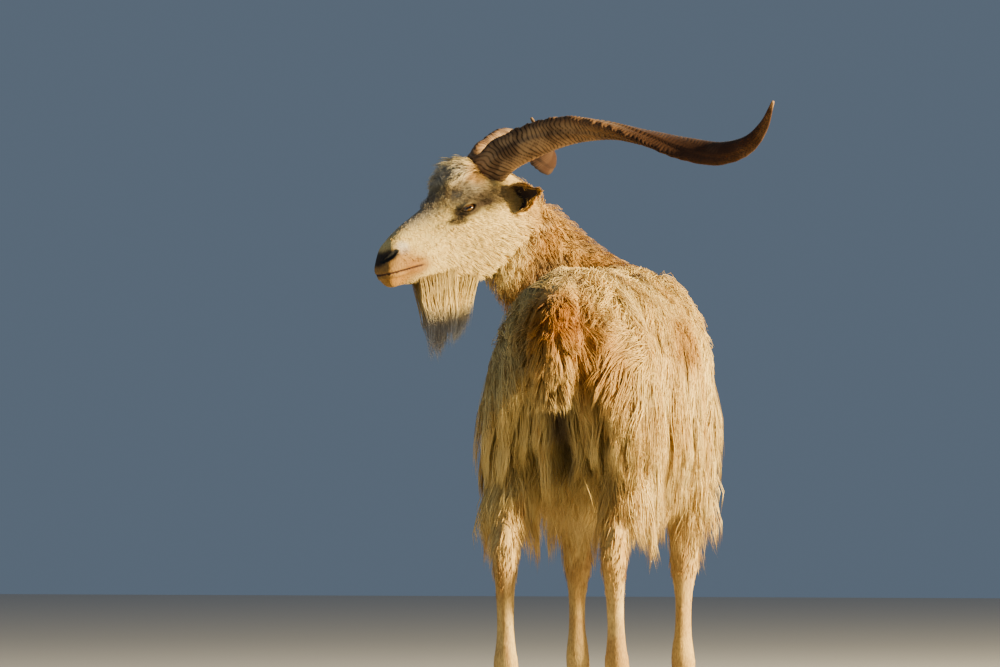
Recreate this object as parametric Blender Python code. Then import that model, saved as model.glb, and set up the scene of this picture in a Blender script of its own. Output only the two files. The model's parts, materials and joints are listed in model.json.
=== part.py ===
"""A long-haired billy goat, life size, standing square and looking back over its left side."""

import math
import random

import bmesh
import bpy
import numpy as np
from mathutils import Matrix, Vector
from mathutils.bvhtree import BVHTree

# The body faces -Y, its left is +X and the floor is Z = 0. Lengths are in metres.
GAP = 0.0003
WITHERS = 0.785
SEEDS = {"forelock": 2, "beard": 1, "torso": 2, "neck": 2, "tail": 2}
COAT_COLOUR = (0.80, 0.72, 0.58)
EYE_COLOUR = (0.09, 0.06, 0.03)
HORN_COLOUR = (0.26, 0.19, 0.14)
CENTRE_LEFT = -0.018
CENTRE_AHEAD = 0.052

# Trunk stations: ahead, top, belly, half width. The surface lies half way out in the coat.
TRUNK = [
    (-0.425, 0.682, 0.575, 0.034),
    (-0.402, 0.728, 0.520, 0.078),
    (-0.345, 0.760, 0.458, 0.110),
    (-0.250, 0.772, 0.425, 0.130),
    (-0.120, 0.770, 0.405, 0.150),
    (0.000, 0.763, 0.385, 0.166),
    (0.120, 0.766, 0.378, 0.170),
    (0.220, 0.777, 0.385, 0.157),
    (0.310, WITHERS, 0.410, 0.136),
    (0.380, 0.765, 0.445, 0.112),
    (0.430, 0.715, 0.500, 0.078),
    (0.452, 0.660, 0.560, 0.034),
]
TRUNK_RINGS = 17
TRUNK_SIDES = 16
TRUNK_WIDEST = 0.42
# Neck stations: ahead, left, up, half width, half depth. It turns left through the whole bend.
NECK = [
    (0.270, 0.000, 0.615, 0.100, 0.150),
    (0.375, 0.008, 0.635, 0.092, 0.138),
    (0.455, 0.052, 0.662, 0.080, 0.120),
    (0.500, 0.118, 0.704, 0.072, 0.107),
    (0.502, 0.185, 0.760, 0.066, 0.099),
    (0.480, 0.238, 0.822, 0.060, 0.092),
    (0.445, 0.286, 0.856, 0.054, 0.082),
]
# Leg stations: ahead, left, up, half width, half depth, from the body to the hoof.
HIND_LEG = [
    (-0.265, 0.062, 0.680, 0.050, 0.085),
    (-0.270, 0.082, 0.600, 0.066, 0.128),
    (-0.262, 0.094, 0.520, 0.062, 0.124),
    (-0.262, 0.098, 0.445, 0.049, 0.088),
    (-0.310, 0.096, 0.380, 0.036, 0.056),
    (-0.362, 0.092, 0.320, 0.027, 0.037),
    (-0.388, 0.090, 0.280, 0.024, 0.036),
    (-0.384, 0.090, 0.235, 0.020, 0.025),
    (-0.374, 0.090, 0.150, 0.018, 0.021),
    (-0.368, 0.090, 0.092, 0.024, 0.026),
    (-0.354, 0.090, 0.062, 0.023, 0.024),
    (-0.344, 0.090, 0.030, 0.026, 0.028),
]
FORE_LEG = [
    (0.255, 0.060, 0.700, 0.045, 0.080),
    (0.300, 0.088, 0.610, 0.060, 0.100),
    (0.310, 0.102, 0.530, 0.054, 0.088),
    (0.280, 0.104, 0.460, 0.044, 0.066),
    (0.272, 0.100, 0.380, 0.034, 0.044),
    (0.278, 0.096, 0.290, 0.027, 0.031),
    (0.284, 0.095, 0.255, 0.027, 0.031),
    (0.280, 0.095, 0.215, 0.020, 0.022),
    (0.276, 0.095, 0.140, 0.018, 0.020),
    (0.278, 0.095, 0.090, 0.024, 0.026),
    (0.290, 0.095, 0.060, 0.023, 0.024),
    (0.300, 0.095, 0.030, 0.026, 0.028),
]
# How far ahead of its stations each foot stands, fading out from the hoof up to the elbow or stifle.
LEG_STEPS = {
    "fore_leg_left": 0.012,
    "fore_leg_right": -0.016,
    "hind_leg_left": -0.022,
    "hind_leg_right": 0.018,
}
LEG_STEP_TOP = 0.45
LEG_STEP_SPAN = 0.36
HAUNCH_FOOT = 0.43
HAUNCH_SCALE = (1.12, 1.08)

# The head, in its own frame: forward from the atlas, left, and up from the palate's line.
ATLAS = (0.475, 0.233, 0.8615)
HEAD_TURN = math.radians(126)
HEAD_DROP = math.radians(14.6)
# Head stations: forward, top, bottom, half widths low, middle and high.
HEAD = [
    (-0.030, 0.040, -0.030, 0.026, 0.034, 0.026),
    (-0.005, 0.068, -0.050, 0.040, 0.052, 0.042),
    (0.030, 0.096, -0.066, 0.042, 0.058, 0.052),
    (0.060, 0.112, -0.078, 0.040, 0.060, 0.058),
    (0.090, 0.113, -0.086, 0.036, 0.060, 0.060),
    (0.115, 0.106, -0.085, 0.033, 0.057, 0.058),
    (0.140, 0.090, -0.080, 0.030, 0.050, 0.046),
    (0.170, 0.066, -0.073, 0.028, 0.042, 0.032),
    (0.200, 0.052, -0.068, 0.028, 0.036, 0.026),
    (0.225, 0.042, -0.066, 0.027, 0.033, 0.024),
    (0.250, 0.028, -0.060, 0.024, 0.032, 0.026),
    (0.268, 0.014, -0.056, 0.022, 0.031, 0.026),
    (0.282, -0.002, -0.050, 0.018, 0.025, 0.020),
    (0.290, -0.013, -0.040, 0.010, 0.014, 0.010),
]
# Swellings and hollows of each side of the head: place, reach, height.
SWELLINGS = [
    ((0.100, 0.055, 0.068), (0.032, 0.030, 0.016), 0.0085),
    ((0.150, 0.045, 0.020), (0.030, 0.030, 0.012), 0.0035),
    ((0.145, 0.045, 0.045), (0.022, 0.030, 0.016), -0.0045),
    ((0.060, 0.055, -0.030), (0.036, 0.040, 0.036), 0.0065),
    ((0.150, 0.035, -0.020), (0.035, 0.040, 0.022), -0.0040),
    ((0.262, 0.030, 0.004), (0.016, 0.030, 0.014), 0.0045),
    ((0.255, 0.030, -0.028), (0.030, 0.030, 0.012), 0.0030),
    ((0.272, 0.010, -0.055), (0.016, 0.020, 0.014), 0.0040),
]
EYE_PLACE = (0.1125, 0.0400, 0.0420)
EYE_RADIUS = 0.0155
LID_THICK = 0.0024
# The opening between the lids: distance out from the eye's middle, half width, half height.
LID_OPENING = [(0.0040, 0.0132, 0.0026), (0.0112, 0.0140, 0.0046), (0.0260, 0.0168, 0.0080)]
TEAR_LINE = [(0.128, 0.046, 0.030), (0.140, 0.043, 0.022), (0.152, 0.041, 0.012)]
TEAR_WIDTH = [0.0012, 0.002, 0.001]
NOSTRIL = [(0.283, 0.0170, -0.0115, 0.0026), (0.272, 0.0250, -0.0050, 0.0046), (0.259, 0.0300, 0.0020, 0.0036)]
MOUTH = [(0.212, 0.034, -0.030), (0.232, 0.034, -0.0335), (0.256, 0.031, -0.0345), (0.276, 0.023, -0.0345)]
MOUTH_FRONT_HEIGHT = -0.033
MOUTH_AXIS = 0.205
# Each lip runs this far above or below the line of the mouth, sunk into the muzzle.
LIPS = (("upper_lip", 0.0052), ("lower_lip", -0.0056))
LIP_RADII = (0.0030, 0.0056)
LIP_SUNK = 0.0038
MOUTH_RADII = (0.0040, 0.0062)
MOUTH_FLATNESS = 0.24

# The ear, in the head's frame: where it grows, which way it points and which way its cup opens.
EAR_ROOT = (0.034, 0.046, 0.036)
EAR_POINTS = (-0.45, 0.88, 0.12)
EAR_OPENS = (0.887, 0.455, 0.058)
EAR_LENGTH = 0.074
EAR_WIDTH = 0.052
EAR_WALL = (0.0045, 0.0019)
EAR_CURL = 1.16

# The horns: forward, left and up from the middle of their roots, half breadth, half thickness, roll.
HORN_ROOTS = (0.302, -0.385, 0.962)
HORN = [
    (0.020, 0.020, -0.040, 0.033, 0.021, 5.0),
    (-0.004, 0.034, -0.004, 0.032, 0.021, 8.0),
    (-0.052, 0.074, 0.030, 0.031, 0.020, 20.0),
    (-0.103, 0.122, 0.049, 0.029, 0.018, 42.0),
    (-0.154, 0.176, 0.047, 0.027, 0.015, 75.0),
    (-0.200, 0.232, 0.032, 0.025, 0.0125, 108.0),
    (-0.246, 0.289, 0.013, 0.024, 0.011, 140.0),
    (-0.287, 0.345, 0.004, 0.021, 0.0095, 165.0),
    (-0.312, 0.399, 0.018, 0.016, 0.008, 185.0),
    (-0.319, 0.445, 0.048, 0.010, 0.006, 200.0),
    (-0.316, 0.488, 0.090, 0.0025, 0.0025, 210.0),
]
# How much lower the right horn lies at each station.
HORN_SETTLE = (0.0, 0.004, 0.014, 0.014, 0.005, 0.0, 0.0, 0.0, 0.0, 0.0, 0.0)
HORN_RIDGES = 22
FLAT_ENOUGH = math.radians(4.0)
LOCK_STEPS = 3
LOCK_TAPER = (0.85, 1.00, 0.74, 0.07)
LOCK_LIFT = (0.0, 0.15, 0.75, 1.0)
LOCK_THICK = 0.008
ROOT_DEPTH = 0.010
# A lock follows a surface this near it, and otherwise hangs free.
CLING = 0.06
TASSEL_CLING = 0.018
# Tiers of locks: angle above level, length, height of the tip over the core.
SIDE_TIERS = [
    (86, 0.155, 0.015),
    (52, 0.170, 0.017),
    (22, 0.180, 0.018),
    (-8, 0.185, 0.018),
    (-36, 0.170, 0.017),
]
RUMP_TIERS = [(34, 0.140, 0.015), (0, 0.160, 0.017), (-26, 0.150, 0.015)]
CHEST_TIERS = [(-8, 0.140, 0.015), (-34, 0.140, 0.015)]
# The rump and the chest: ahead and up of the fan's middle, which way it faces, its half spread in degrees,
# the locks in a tier, the tiers.
END_LOCKS = [
    ((-0.24, 0.60), 1, 62, 5, RUMP_TIERS),
    ((0.24, 0.58), -1, 50, 3, CHEST_TIERS),
]
SIDE_START = -0.285
SIDE_SPAN = 0.63
SIDE_MIDDLE = 0.57
SIDE_LOCKS = 7
SIDE_WIDTH = 0.088
NECK_RINGS = (0.32, 0.50, 0.68, 0.86)
NECK_LOCKS = 6
NECK_LENGTH = 0.105
NECK_WIDTH = 0.074
NECK_RISE = 0.016
# Forelock rows: forward in the head, locks, length.
FORELOCK = [(0.116, 3, 0.048), (0.092, 4, 0.058)]
FORELOCK_SPREAD = 0.060
FORELOCK_SIZE = (0.024, 0.006)
FORELOCK_RISE = 0.012
RIDGE_HEIGHT = 0.0028

# Beard and tail stations: forward or ahead, left, up, half width, half depth.
BEARD = [
    (0.170, 0.0, -0.062, 0.022, 0.030),
    (0.176, 0.0, -0.090, 0.023, 0.031),
    (0.187, 0.0, -0.120, 0.019, 0.026),
    (0.200, 0.0, -0.155, 0.012, 0.016),
    (0.211, 0.0, -0.190, 0.004, 0.005),
]
TAIL = [
    (-0.370, 0.0, 0.690, 0.026, 0.020),
    (-0.420, 0.0, 0.690, 0.032, 0.022),
    (-0.452, 0.0, 0.655, 0.034, 0.021),
    (-0.462, 0.0, 0.605, 0.034, 0.021),
    (-0.463, 0.0, 0.570, 0.022, 0.014),
    (-0.462, 0.0, 0.548, 0.008, 0.005),
]
# Locks of the beard and the tail: length, width, height of the tip over the core.
BEARD_LOCK = (0.095, 0.036, 0.006)
TAIL_LOCK = (0.110, 0.044, 0.008)
# Hoof stations: ahead and up from the toe's middle, half width, half length.
CLAW = [
    (0.000, 0.000, 0.0125, 0.030),
    (-0.001, 0.012, 0.0130, 0.028),
    (-0.004, 0.026, 0.0125, 0.025),
    (-0.008, 0.040, 0.0115, 0.021),
    (-0.010, 0.050, 0.0085, 0.014),
]
CLAW_APART = 0.0138
CLAW_AHEAD = 0.018
DEWCLAW_HEIGHT = 0.082


def place(ahead, left, up):
    """A point of the body in the model's frame."""
    return Vector((left - CENTRE_LEFT, CENTRE_AHEAD - ahead, up))


def clear_scene():
    for item in list(bpy.data.objects):
        bpy.data.objects.remove(item)


def new_object(name, mesh, collection):
    item = bpy.data.objects.new(name, mesh)
    collection.objects.link(item)
    return item


def curve_through(stations, count):
    """Count samples of the smooth curve through the stations, by the length between them."""
    table = np.array(stations, float)
    span = np.linalg.norm(np.diff(table[:, :3], axis=0), axis=1)
    knots = np.concatenate([[0.0], np.cumsum(span)])
    slopes = np.gradient(table, knots, axis=0)
    wanted = np.linspace(0.0, knots[-1], count)
    i = np.clip(np.searchsorted(knots, wanted, side="right") - 1, 0, len(span) - 1)
    t = ((wanted - knots[i]) / span[i])[:, None]
    step = span[i][:, None]
    return (
        (2 * t**3 - 3 * t**2 + 1) * table[i]
        + (t**3 - 2 * t**2 + t) * step * slopes[i]
        + (3 * t**2 - 2 * t**3) * table[i + 1]
        + (t**3 - t**2) * step * slopes[i + 1]
    )


def skin_rings(name, rings, collection):
    """A closed mesh through rings of as many points each, with flat ends."""
    rings = np.asarray(rings, float)
    count, sides = rings.shape[:2]
    faces = []
    for r in range(count - 1):
        for s in range(sides):
            n = (s + 1) % sides
            faces.append((r * sides + s, r * sides + n, (r + 1) * sides + n, (r + 1) * sides + s))
    faces.append(tuple(range(sides))[::-1])
    faces.append(tuple(range((count - 1) * sides, count * sides)))
    mesh = bpy.data.meshes.new(name)
    mesh.from_pydata(rings.reshape(-1, 3).tolist(), [], faces)
    bm = bmesh.new()
    bm.from_mesh(mesh)
    bmesh.ops.recalc_face_normals(bm, faces=bm.faces)
    bmesh.ops.triangulate(bm, faces=bm.faces)
    bm.to_mesh(mesh)
    bm.free()
    return new_object(name, mesh, collection)


def tube_rings(centres, half_widths, half_depths, sides):
    """Elliptic rings square to the path, their depth kept in the upright plane of the path."""
    tangents = np.gradient(centres, axis=0)
    tangents /= np.linalg.norm(tangents, axis=1)[:, None]
    across = np.cross(tangents, [0.0, 0.0, 1.0])
    weak = np.linalg.norm(across, axis=1) < 0.6
    across[weak] = np.cross(tangents[weak], [0.0, 1.0, 0.0])
    if weak.mean() > 0.5:
        across = np.tile([1.0, 0.0, 0.0], (len(centres), 1))
    across /= np.linalg.norm(across, axis=1)[:, None]
    deep = np.cross(across, tangents)
    angles = np.linspace(0, 2 * np.pi, sides, endpoint=False)
    return (
        centres[:, None]
        + across[:, None] * (half_widths[:, None] * np.cos(angles))[..., None]
        + deep[:, None] * (half_depths[:, None] * np.sin(angles))[..., None]
    )


def trunk(collection):
    """The trunk, out to half way into the coat. Its widest place is below its middle."""
    rows = curve_through([(a, 0.0, (t + b) / 2, t, b, w) for a, t, b, w in TRUNK], TRUNK_RINGS)
    angles = np.linspace(0, 2 * np.pi, TRUNK_SIDES, endpoint=False)
    rings = []
    for ahead, left, _, top, belly, width in rows:
        widest = belly + TRUNK_WIDEST * (top - belly)
        side = width * np.sign(np.cos(angles)) * np.abs(np.cos(angles)) ** 0.92
        rise = np.where(
            np.sin(angles) > 0,
            widest + (top - widest) * np.abs(np.sin(angles)) ** 1.06,
            widest - (widest - belly) * np.abs(np.sin(angles)) ** 0.95,
        )
        rings.append([place(ahead, left + s, u) for s, u in zip(side, rise)])
    return skin_rings("torso", rings, collection)


def limb(name, stations, side, step, collection):
    stepped = []
    for a, l, u, w, d in stations:
        share = min(1.0, max(0.0, (LEG_STEP_TOP - u) / LEG_STEP_SPAN))
        stepped.append((a + step * share, side * l, u, w, d))
    rows = curve_through(stepped, 15)
    centres = np.array([place(*row[:3]) for row in rows])
    return skin_rings(name, tube_rings(centres, rows[:, 3], rows[:, 4], 8), collection)


def neck(collection):
    rows = curve_through(NECK, 12)
    centres = np.array([place(*row[:3]) for row in rows])
    return skin_rings("neck_form", tube_rings(centres, rows[:, 3], rows[:, 4], 12), collection)


def head_matrix():
    """Turns head measures (forward, left, up) into the model's frame."""
    heading = Vector((math.sin(HEAD_TURN), -math.cos(HEAD_TURN), 0))
    left = Vector((0, 0, 1)).cross(heading)
    forward = heading * math.cos(HEAD_DROP) - Vector((0, 0, 1)) * math.sin(HEAD_DROP)
    up = forward.cross(left)
    turn = Matrix((forward, left, up)).transposed().to_4x4()
    return Matrix.Translation(place(*ATLAS)) @ turn


def head_form(collection):
    rows = curve_through([(f, 0.0, (t + b) / 2, t, b, wl, wm, wh) for f, t, b, wl, wm, wh in HEAD], 24)
    angles = np.linspace(0, 2 * np.pi, 22, endpoint=False)
    height = (1 + np.sin(angles)) / 2
    low = np.clip(1 - height / 0.5, 0, 1)
    high = np.clip((height - 0.5) / 0.5, 0, 1)
    rings = []
    matrix = head_matrix()
    for forward, _, _, top, bottom, wl, wm, wh in rows:
        width = wm + (wl - wm) * low**1.2 + (wh - wm) * high**1.2
        side = width * np.sign(np.cos(angles)) * np.abs(np.cos(angles)) ** 0.8
        up = bottom + (top - bottom) * height
        places = np.stack([np.full(len(side), forward), side, up], axis=1)
        centre = np.array([forward, 0.0, (top + bottom) / 2])
        outward = places - centre
        outward /= np.linalg.norm(outward, axis=1)[:, None]
        for spot, reach, swell in SWELLINGS:
            for apart in (places - spot, places * [1.0, -1.0, 1.0] - spot):
                near = np.exp(-((apart / reach) ** 2).sum(axis=1))
                places = places + outward * (swell * near)[:, None]
        rings.append([matrix @ Vector(p) for p in places])
    return skin_rings("head_form", rings, collection)


def in_head(forward, left, up):
    return head_matrix() @ Vector((forward, left, up))


def evaluated_copy(item, name):
    depsgraph = bpy.context.evaluated_depsgraph_get()
    depsgraph.update()
    mesh = bpy.data.meshes.new_from_object(item.evaluated_get(depsgraph))
    mesh.name = name
    return mesh


def largest_body(mesh):
    """Keeps only the largest closed surface of the mesh."""
    bm = bmesh.new()
    bm.from_mesh(mesh)
    left_over = set(bm.faces)
    bodies = []
    while left_over:
        stack = [left_over.pop()]
        body = [stack[0]]
        while stack:
            face = stack.pop()
            for edge in face.edges:
                for other in edge.link_faces:
                    if other in left_over:
                        left_over.remove(other)
                        body.append(other)
                        stack.append(other)
        bodies.append(body)
    bodies.sort(key=lambda faces: -sum(face.calc_area() for face in faces))
    loose = [face for body in bodies[1:] for face in body]
    bmesh.ops.delete(bm, geom=loose, context="FACES")
    bmesh.ops.triangulate(bm, faces=bm.faces)
    bm.to_mesh(mesh)
    bm.free()
    return mesh


def combine(item, others, operation):
    """Joins the others to the item, or cuts them out of it, and removes them."""
    bench = bpy.data.collections.new("bench")
    bpy.context.scene.collection.children.link(bench)
    for other in others:
        for home in list(other.users_collection):
            home.objects.unlink(other)
        bench.objects.link(other)
    boolean = item.modifiers.new("join", "BOOLEAN")
    boolean.operation = operation
    boolean.operand_type = "COLLECTION"
    boolean.collection = bench
    boolean.solver = "MANIFOLD"
    mesh = evaluated_copy(item, item.name)
    item.modifiers.clear()
    item.data = largest_body(mesh)
    for other in others:
        bpy.data.objects.remove(other)
    bpy.data.collections.remove(bench)
    return item


def even_out(item):
    """Joins facets that lie almost in one plane, which leaves fewer and larger triangles."""
    bm = bmesh.new()
    bm.from_mesh(item.data)
    bmesh.ops.dissolve_limit(bm, angle_limit=FLAT_ENOUGH, verts=bm.verts, edges=bm.edges)
    bmesh.ops.triangulate(bm, faces=bm.faces)
    bm.to_mesh(item.data)
    bm.free()


def grown(item, collection):
    """A copy of the item, bigger by the gap that touching parts keep."""
    mesh = item.data.copy()
    bm = bmesh.new()
    bm.from_mesh(mesh)
    bm.normal_update()
    moves = [(v, v.normal.copy()) for v in bm.verts]
    for vert, normal in moves:
        vert.co += normal * GAP * 1.3
    bm.to_mesh(mesh)
    bm.free()
    return new_object(item.name + "_grown", mesh, collection)


def fit_against(item, neighbours, collection):
    """Cuts the item clear of its neighbours, face to face."""
    cutters = [grown(other, collection) for other in neighbours]
    cutters += [new_object(other.name + "_cutter", other.data.copy(), collection) for other in neighbours]
    return combine(item, cutters, "DIFFERENCE")


def ball(name, centre, radius, collection, segments=12, rings=8):
    mesh = bpy.data.meshes.new(name)
    bm = bmesh.new()
    bmesh.ops.create_uvsphere(bm, u_segments=segments, v_segments=rings, radius=radius)
    bmesh.ops.triangulate(bm, faces=bm.faces)
    bm.to_mesh(mesh)
    bm.free()
    item = new_object(name, mesh, collection)
    mesh.transform(Matrix.Translation(centre))
    return item


def rope(name, points, radii, sides, collection, squash=1.0):
    """A closed tube along the points, as thick as the radii say."""
    rows = curve_through([(*p, r) for p, r in zip(points, radii)], len(points) + 3)
    rings = tube_rings(rows[:, :3], rows[:, 3], rows[:, 3] * squash, sides)
    return skin_rings(name, rings, collection)


def eye_axes(side):
    """The eye's outward, forward and upward directions, in the model's frame."""
    turn = head_matrix().to_3x3()
    outward = turn @ Vector((0.26, side * 0.96, 0.12)).normalized()
    forward = turn @ Vector((0.96, -side * 0.26, -0.20))
    forward = (forward - outward * forward.dot(outward)).normalized()
    return outward, forward, forward.cross(outward) * -side


def eye_middle(side):
    forward, left, up = EYE_PLACE
    return in_head(forward, side * left, up)


def lid_opening(side, centre, collection):
    """The almond that is cut between the lids: a flat lens on the eye's axis."""
    outward, forward, upward = eye_axes(side)
    rings = []
    for reach, width, height in LID_OPENING:
        middle = centre + outward * reach
        ring = []
        for k in range(12):
            angle = 2 * math.pi * k / 12
            bow = math.sin(angle) * (1.0 if math.sin(angle) > 0 else 0.8)
            ring.append(middle + forward * width * math.cos(angle) + upward * height * bow)
        rings.append(ring)
    return skin_rings("lid_opening", rings, collection)


def head(collection):
    item = head_form(collection)
    item.name = "head"
    adds = []
    cuts = []
    for side in (1, -1):
        centre = eye_middle(side)
        adds.append(ball("lids", centre, EYE_RADIUS + LID_THICK, collection))
        tear = [in_head(f, side * l, u) for f, l, u in TEAR_LINE]
        nostril = [in_head(f, side * l, u) for f, l, u, _ in NOSTRIL]
        cuts.append(rope("tear_line", tear, TEAR_WIDTH, 6, collection))
        cuts.append(ball("socket", centre, EYE_RADIUS + GAP, collection))
        cuts.append(lid_opening(side, centre, collection))
        cuts.append(rope("nostril", nostril, [row[3] for row in NOSTRIL], 8, collection))
    tree = surface_of([item])
    turn = head_matrix().to_3x3()
    around = [(math.atan2(l, f - MOUTH_AXIS), u) for f, l, u in MOUTH] + [(0.0, MOUTH_FRONT_HEIGHT)]
    around += [(-angle, u) for angle, u in around[-2::-1]]

    def along_mouth(lift, sink):
        points = []
        for angle, u in around:
            aim = turn @ Vector((math.cos(angle), math.sin(angle), 0))
            spot, normal = shoot(tree, in_head(MOUTH_AXIS, 0, u + lift), aim)
            points.append(spot - normal * sink)
        return points

    def radii(corner, middle):
        return [corner] + [middle] * (len(around) - 2) + [corner]

    for name, lift in LIPS:
        adds.append(rope(name, along_mouth(lift, LIP_SUNK), radii(*LIP_RADII), 6, collection))
    line = along_mouth(0, 0)
    cuts.append(rope("mouth_line", line, radii(*MOUTH_RADII), 6, collection, MOUTH_FLATNESS))
    combine(item, adds, "UNION")
    combine(item, cuts, "DIFFERENCE")
    return item


def eye(side, collection):
    name = "eye_left" if side > 0 else "eye_right"
    return ball(name, eye_middle(side), EYE_RADIUS, collection, 14, 8)


def ear(side, collection):
    """A pointed cup: a leaf that curls round its axis, thick at the root and thin at the rim."""
    axis = Vector(EAR_POINTS).normalized()
    opens = Vector(EAR_OPENS)
    opens = (opens - axis * opens.dot(axis)).normalized()
    across = axis.cross(opens)
    root = Vector(EAR_ROOT)
    rings = []
    for k in range(10):
        t = k / 9
        width = EAR_WIDTH / 2 * (0.42 + 0.58 * math.sin(math.pi * min(1.0, t * 1.15 + 0.05)) ** 0.8)
        if t > 0.6:
            width *= math.sqrt(max(0.0, 1 - ((t - 0.6) / 0.42) ** 2)) * 0.96 + 0.04
        cup = width * (1.05 - 0.45 * t)
        wall = EAR_WALL[0] + (EAR_WALL[1] - EAR_WALL[0]) * t
        centre = root + axis * (EAR_LENGTH * t - 0.012) - opens * (0.006 * t * t)
        hollow = min(1.0, max(0.0, (t - 0.12) / 0.25))
        ring = []
        for j in range(8):
            a = math.pi * (j / 7 - 0.5) * EAR_CURL
            ring.append(centre + across * width * math.sin(a) - opens * cup * math.cos(a))
        for j in range(7, -1, -1):
            a = math.pi * (j / 7 - 0.5) * EAR_CURL
            deep = (cup - wall) * math.cos(a) * hollow + (1 - hollow) * (-cup * 0.35 * math.cos(a))
            ring.append(centre + across * (width - wall) * math.sin(a) - opens * deep)
        rings.append([in_head(p.x, side * p.y, p.z) for p in ring])
    return skin_rings("ear_left" if side > 0 else "ear_right", rings, collection)


def horn(side, collection):
    """A flattened, keeled horn that winds outwards, with wavy ridges on its lower two thirds."""
    count = 2 * HORN_RIDGES + 8
    stations = np.array(HORN, float)
    if side < 0:
        stations[:, 2] -= HORN_SETTLE
    rows = curve_through(stations, count)
    heading = Vector((math.sin(HEAD_TURN), -math.cos(HEAD_TURN), 0))
    left = Vector((0, 0, 1)).cross(heading)
    centres = rows[:, :3]
    tangents = np.gradient(centres, axis=0)
    rings = []
    for k, row in enumerate(rows):
        tangent = Vector(tangents[k]).normalized()
        upward = Vector((0, 0, 1))
        broad = (upward - tangent * upward.dot(tangent)).normalized()
        flat = tangent.cross(broad)
        roll = math.radians(row[5])
        fade = max(0.0, 1 - k / count * 1.25)
        ridge = RIDGE_HEIGHT * fade * (0.5 + 0.5 * math.cos(math.pi * k))
        ring = []
        for j in range(8):
            angle = 2 * math.pi * j / 8
            reach = (row[3] + ridge) * math.cos(angle)
            keel = 0.80 if math.cos(angle) > 0.3 else 1.0
            depth = (row[4] + ridge) * math.sin(angle) * keel
            spot = broad * (reach * math.cos(roll) - depth * math.sin(roll))
            spot += flat * (reach * math.sin(roll) + depth * math.cos(roll))
            p = Vector(row[:3]) + spot
            ring.append(Vector(HORN_ROOTS) + heading * p.x + left * (side * p.y) + Vector((0, 0, p.z)))
        rings.append(ring)
    return skin_rings("horn_left" if side > 0 else "horn_right", rings, collection)


def claws(leg, side, toe, collection):
    """The two claws of one foot, flat on the floor."""
    ahead, left = toe
    made = []
    for inner in (1, -1):
        rings = []
        for a, u, width, length in CLAW:
            middle_left = side * left + inner * (CLAW_APART - 0.05 * u)
            ring = []
            for k in range(10):
                angle = 2 * math.pi * k / 10
                point = math.cos(angle)
                narrow = 1 - 0.35 * max(0.0, point) ** 2
                sideways = width * math.sin(angle) * narrow
                if sideways * inner < 0:
                    sideways *= 0.72
                ring.append(place(ahead + CLAW_AHEAD + a + length * point, middle_left + sideways, u))
            rings.append(ring)
        where = "outer" if inner == side else "inner"
        made.append(skin_rings(f"{leg}_claw_{where}", rings, collection))
    return made


def leg(name, side, collection):
    step = LEG_STEPS[name]
    stations = FORE_LEG if name.startswith("fore") else HIND_LEG
    item = limb(name, stations, side, step, collection)
    ahead, left = stations[-3][0] + step - 0.022, stations[-3][1]
    dewclaws = []
    for inner in (1, -1):
        spur = [
            place(ahead + 0.012, side * left + inner * 0.010, DEWCLAW_HEIGHT + 0.010),
            place(ahead - 0.004, side * left + inner * 0.012, DEWCLAW_HEIGHT),
            place(ahead - 0.012, side * left + inner * 0.013, DEWCLAW_HEIGHT - 0.012),
        ]
        dewclaws.append(rope("dewclaw", spur, [0.009, 0.008, 0.004], 6, collection))
    combine(item, dewclaws, "UNION")
    even_out(item)
    return item


def surface_of(items):
    """One search tree over all the items' faces."""
    bm = bmesh.new()
    for item in items:
        bm.from_mesh(item.data)
    tree = BVHTree.FromBMesh(bm)
    bm.free()
    return tree


def lock(under, root, normal, lie, size, rise, cling, collection):
    """A flat, tapered lock: from below the surface along the lie, then free past the surface's edge."""
    length, width, thick = size
    step = length / LOCK_STEPS
    heading = (lie - normal * lie.dot(normal)).normalized()
    here = root - normal * ROOT_DEPTH
    rings = []
    for k in range(LOCK_STEPS + 1):
        t = k / LOCK_STEPS
        across = normal.cross(heading).normalized()
        taper = LOCK_TAPER[k]
        half = width / 2 * taper
        crown = normal * thick * (0.35 + 0.65 * taper)
        rings.append([here - across * half, here + across * half, here + crown])
        ahead = here + heading * step
        near, facing, _, distance = under.find_nearest(ahead)
        if facing.z > -0.30 and distance < cling:
            normal = facing
            here = near + normal * rise * LOCK_LIFT[min(k + 1, LOCK_STEPS)]
            heading = (lie - normal * lie.dot(normal)).normalized()
        else:
            heading = (heading * 0.6 + Vector((0, 0, -1))).normalized()
            normal = (normal - heading * normal.dot(heading)).normalized()
            here = ahead
    return skin_rings("lock", rings, collection)


def shoot(tree, start, direction):
    """The outermost place where a ray from inside meets the surface."""
    direction = Vector(direction).normalized()
    spot, normal, _, _ = tree.ray_cast(Vector(start) + direction * 0.8, -direction)
    if normal.dot(direction) < 0:
        normal = -normal
    return spot, normal


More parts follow.
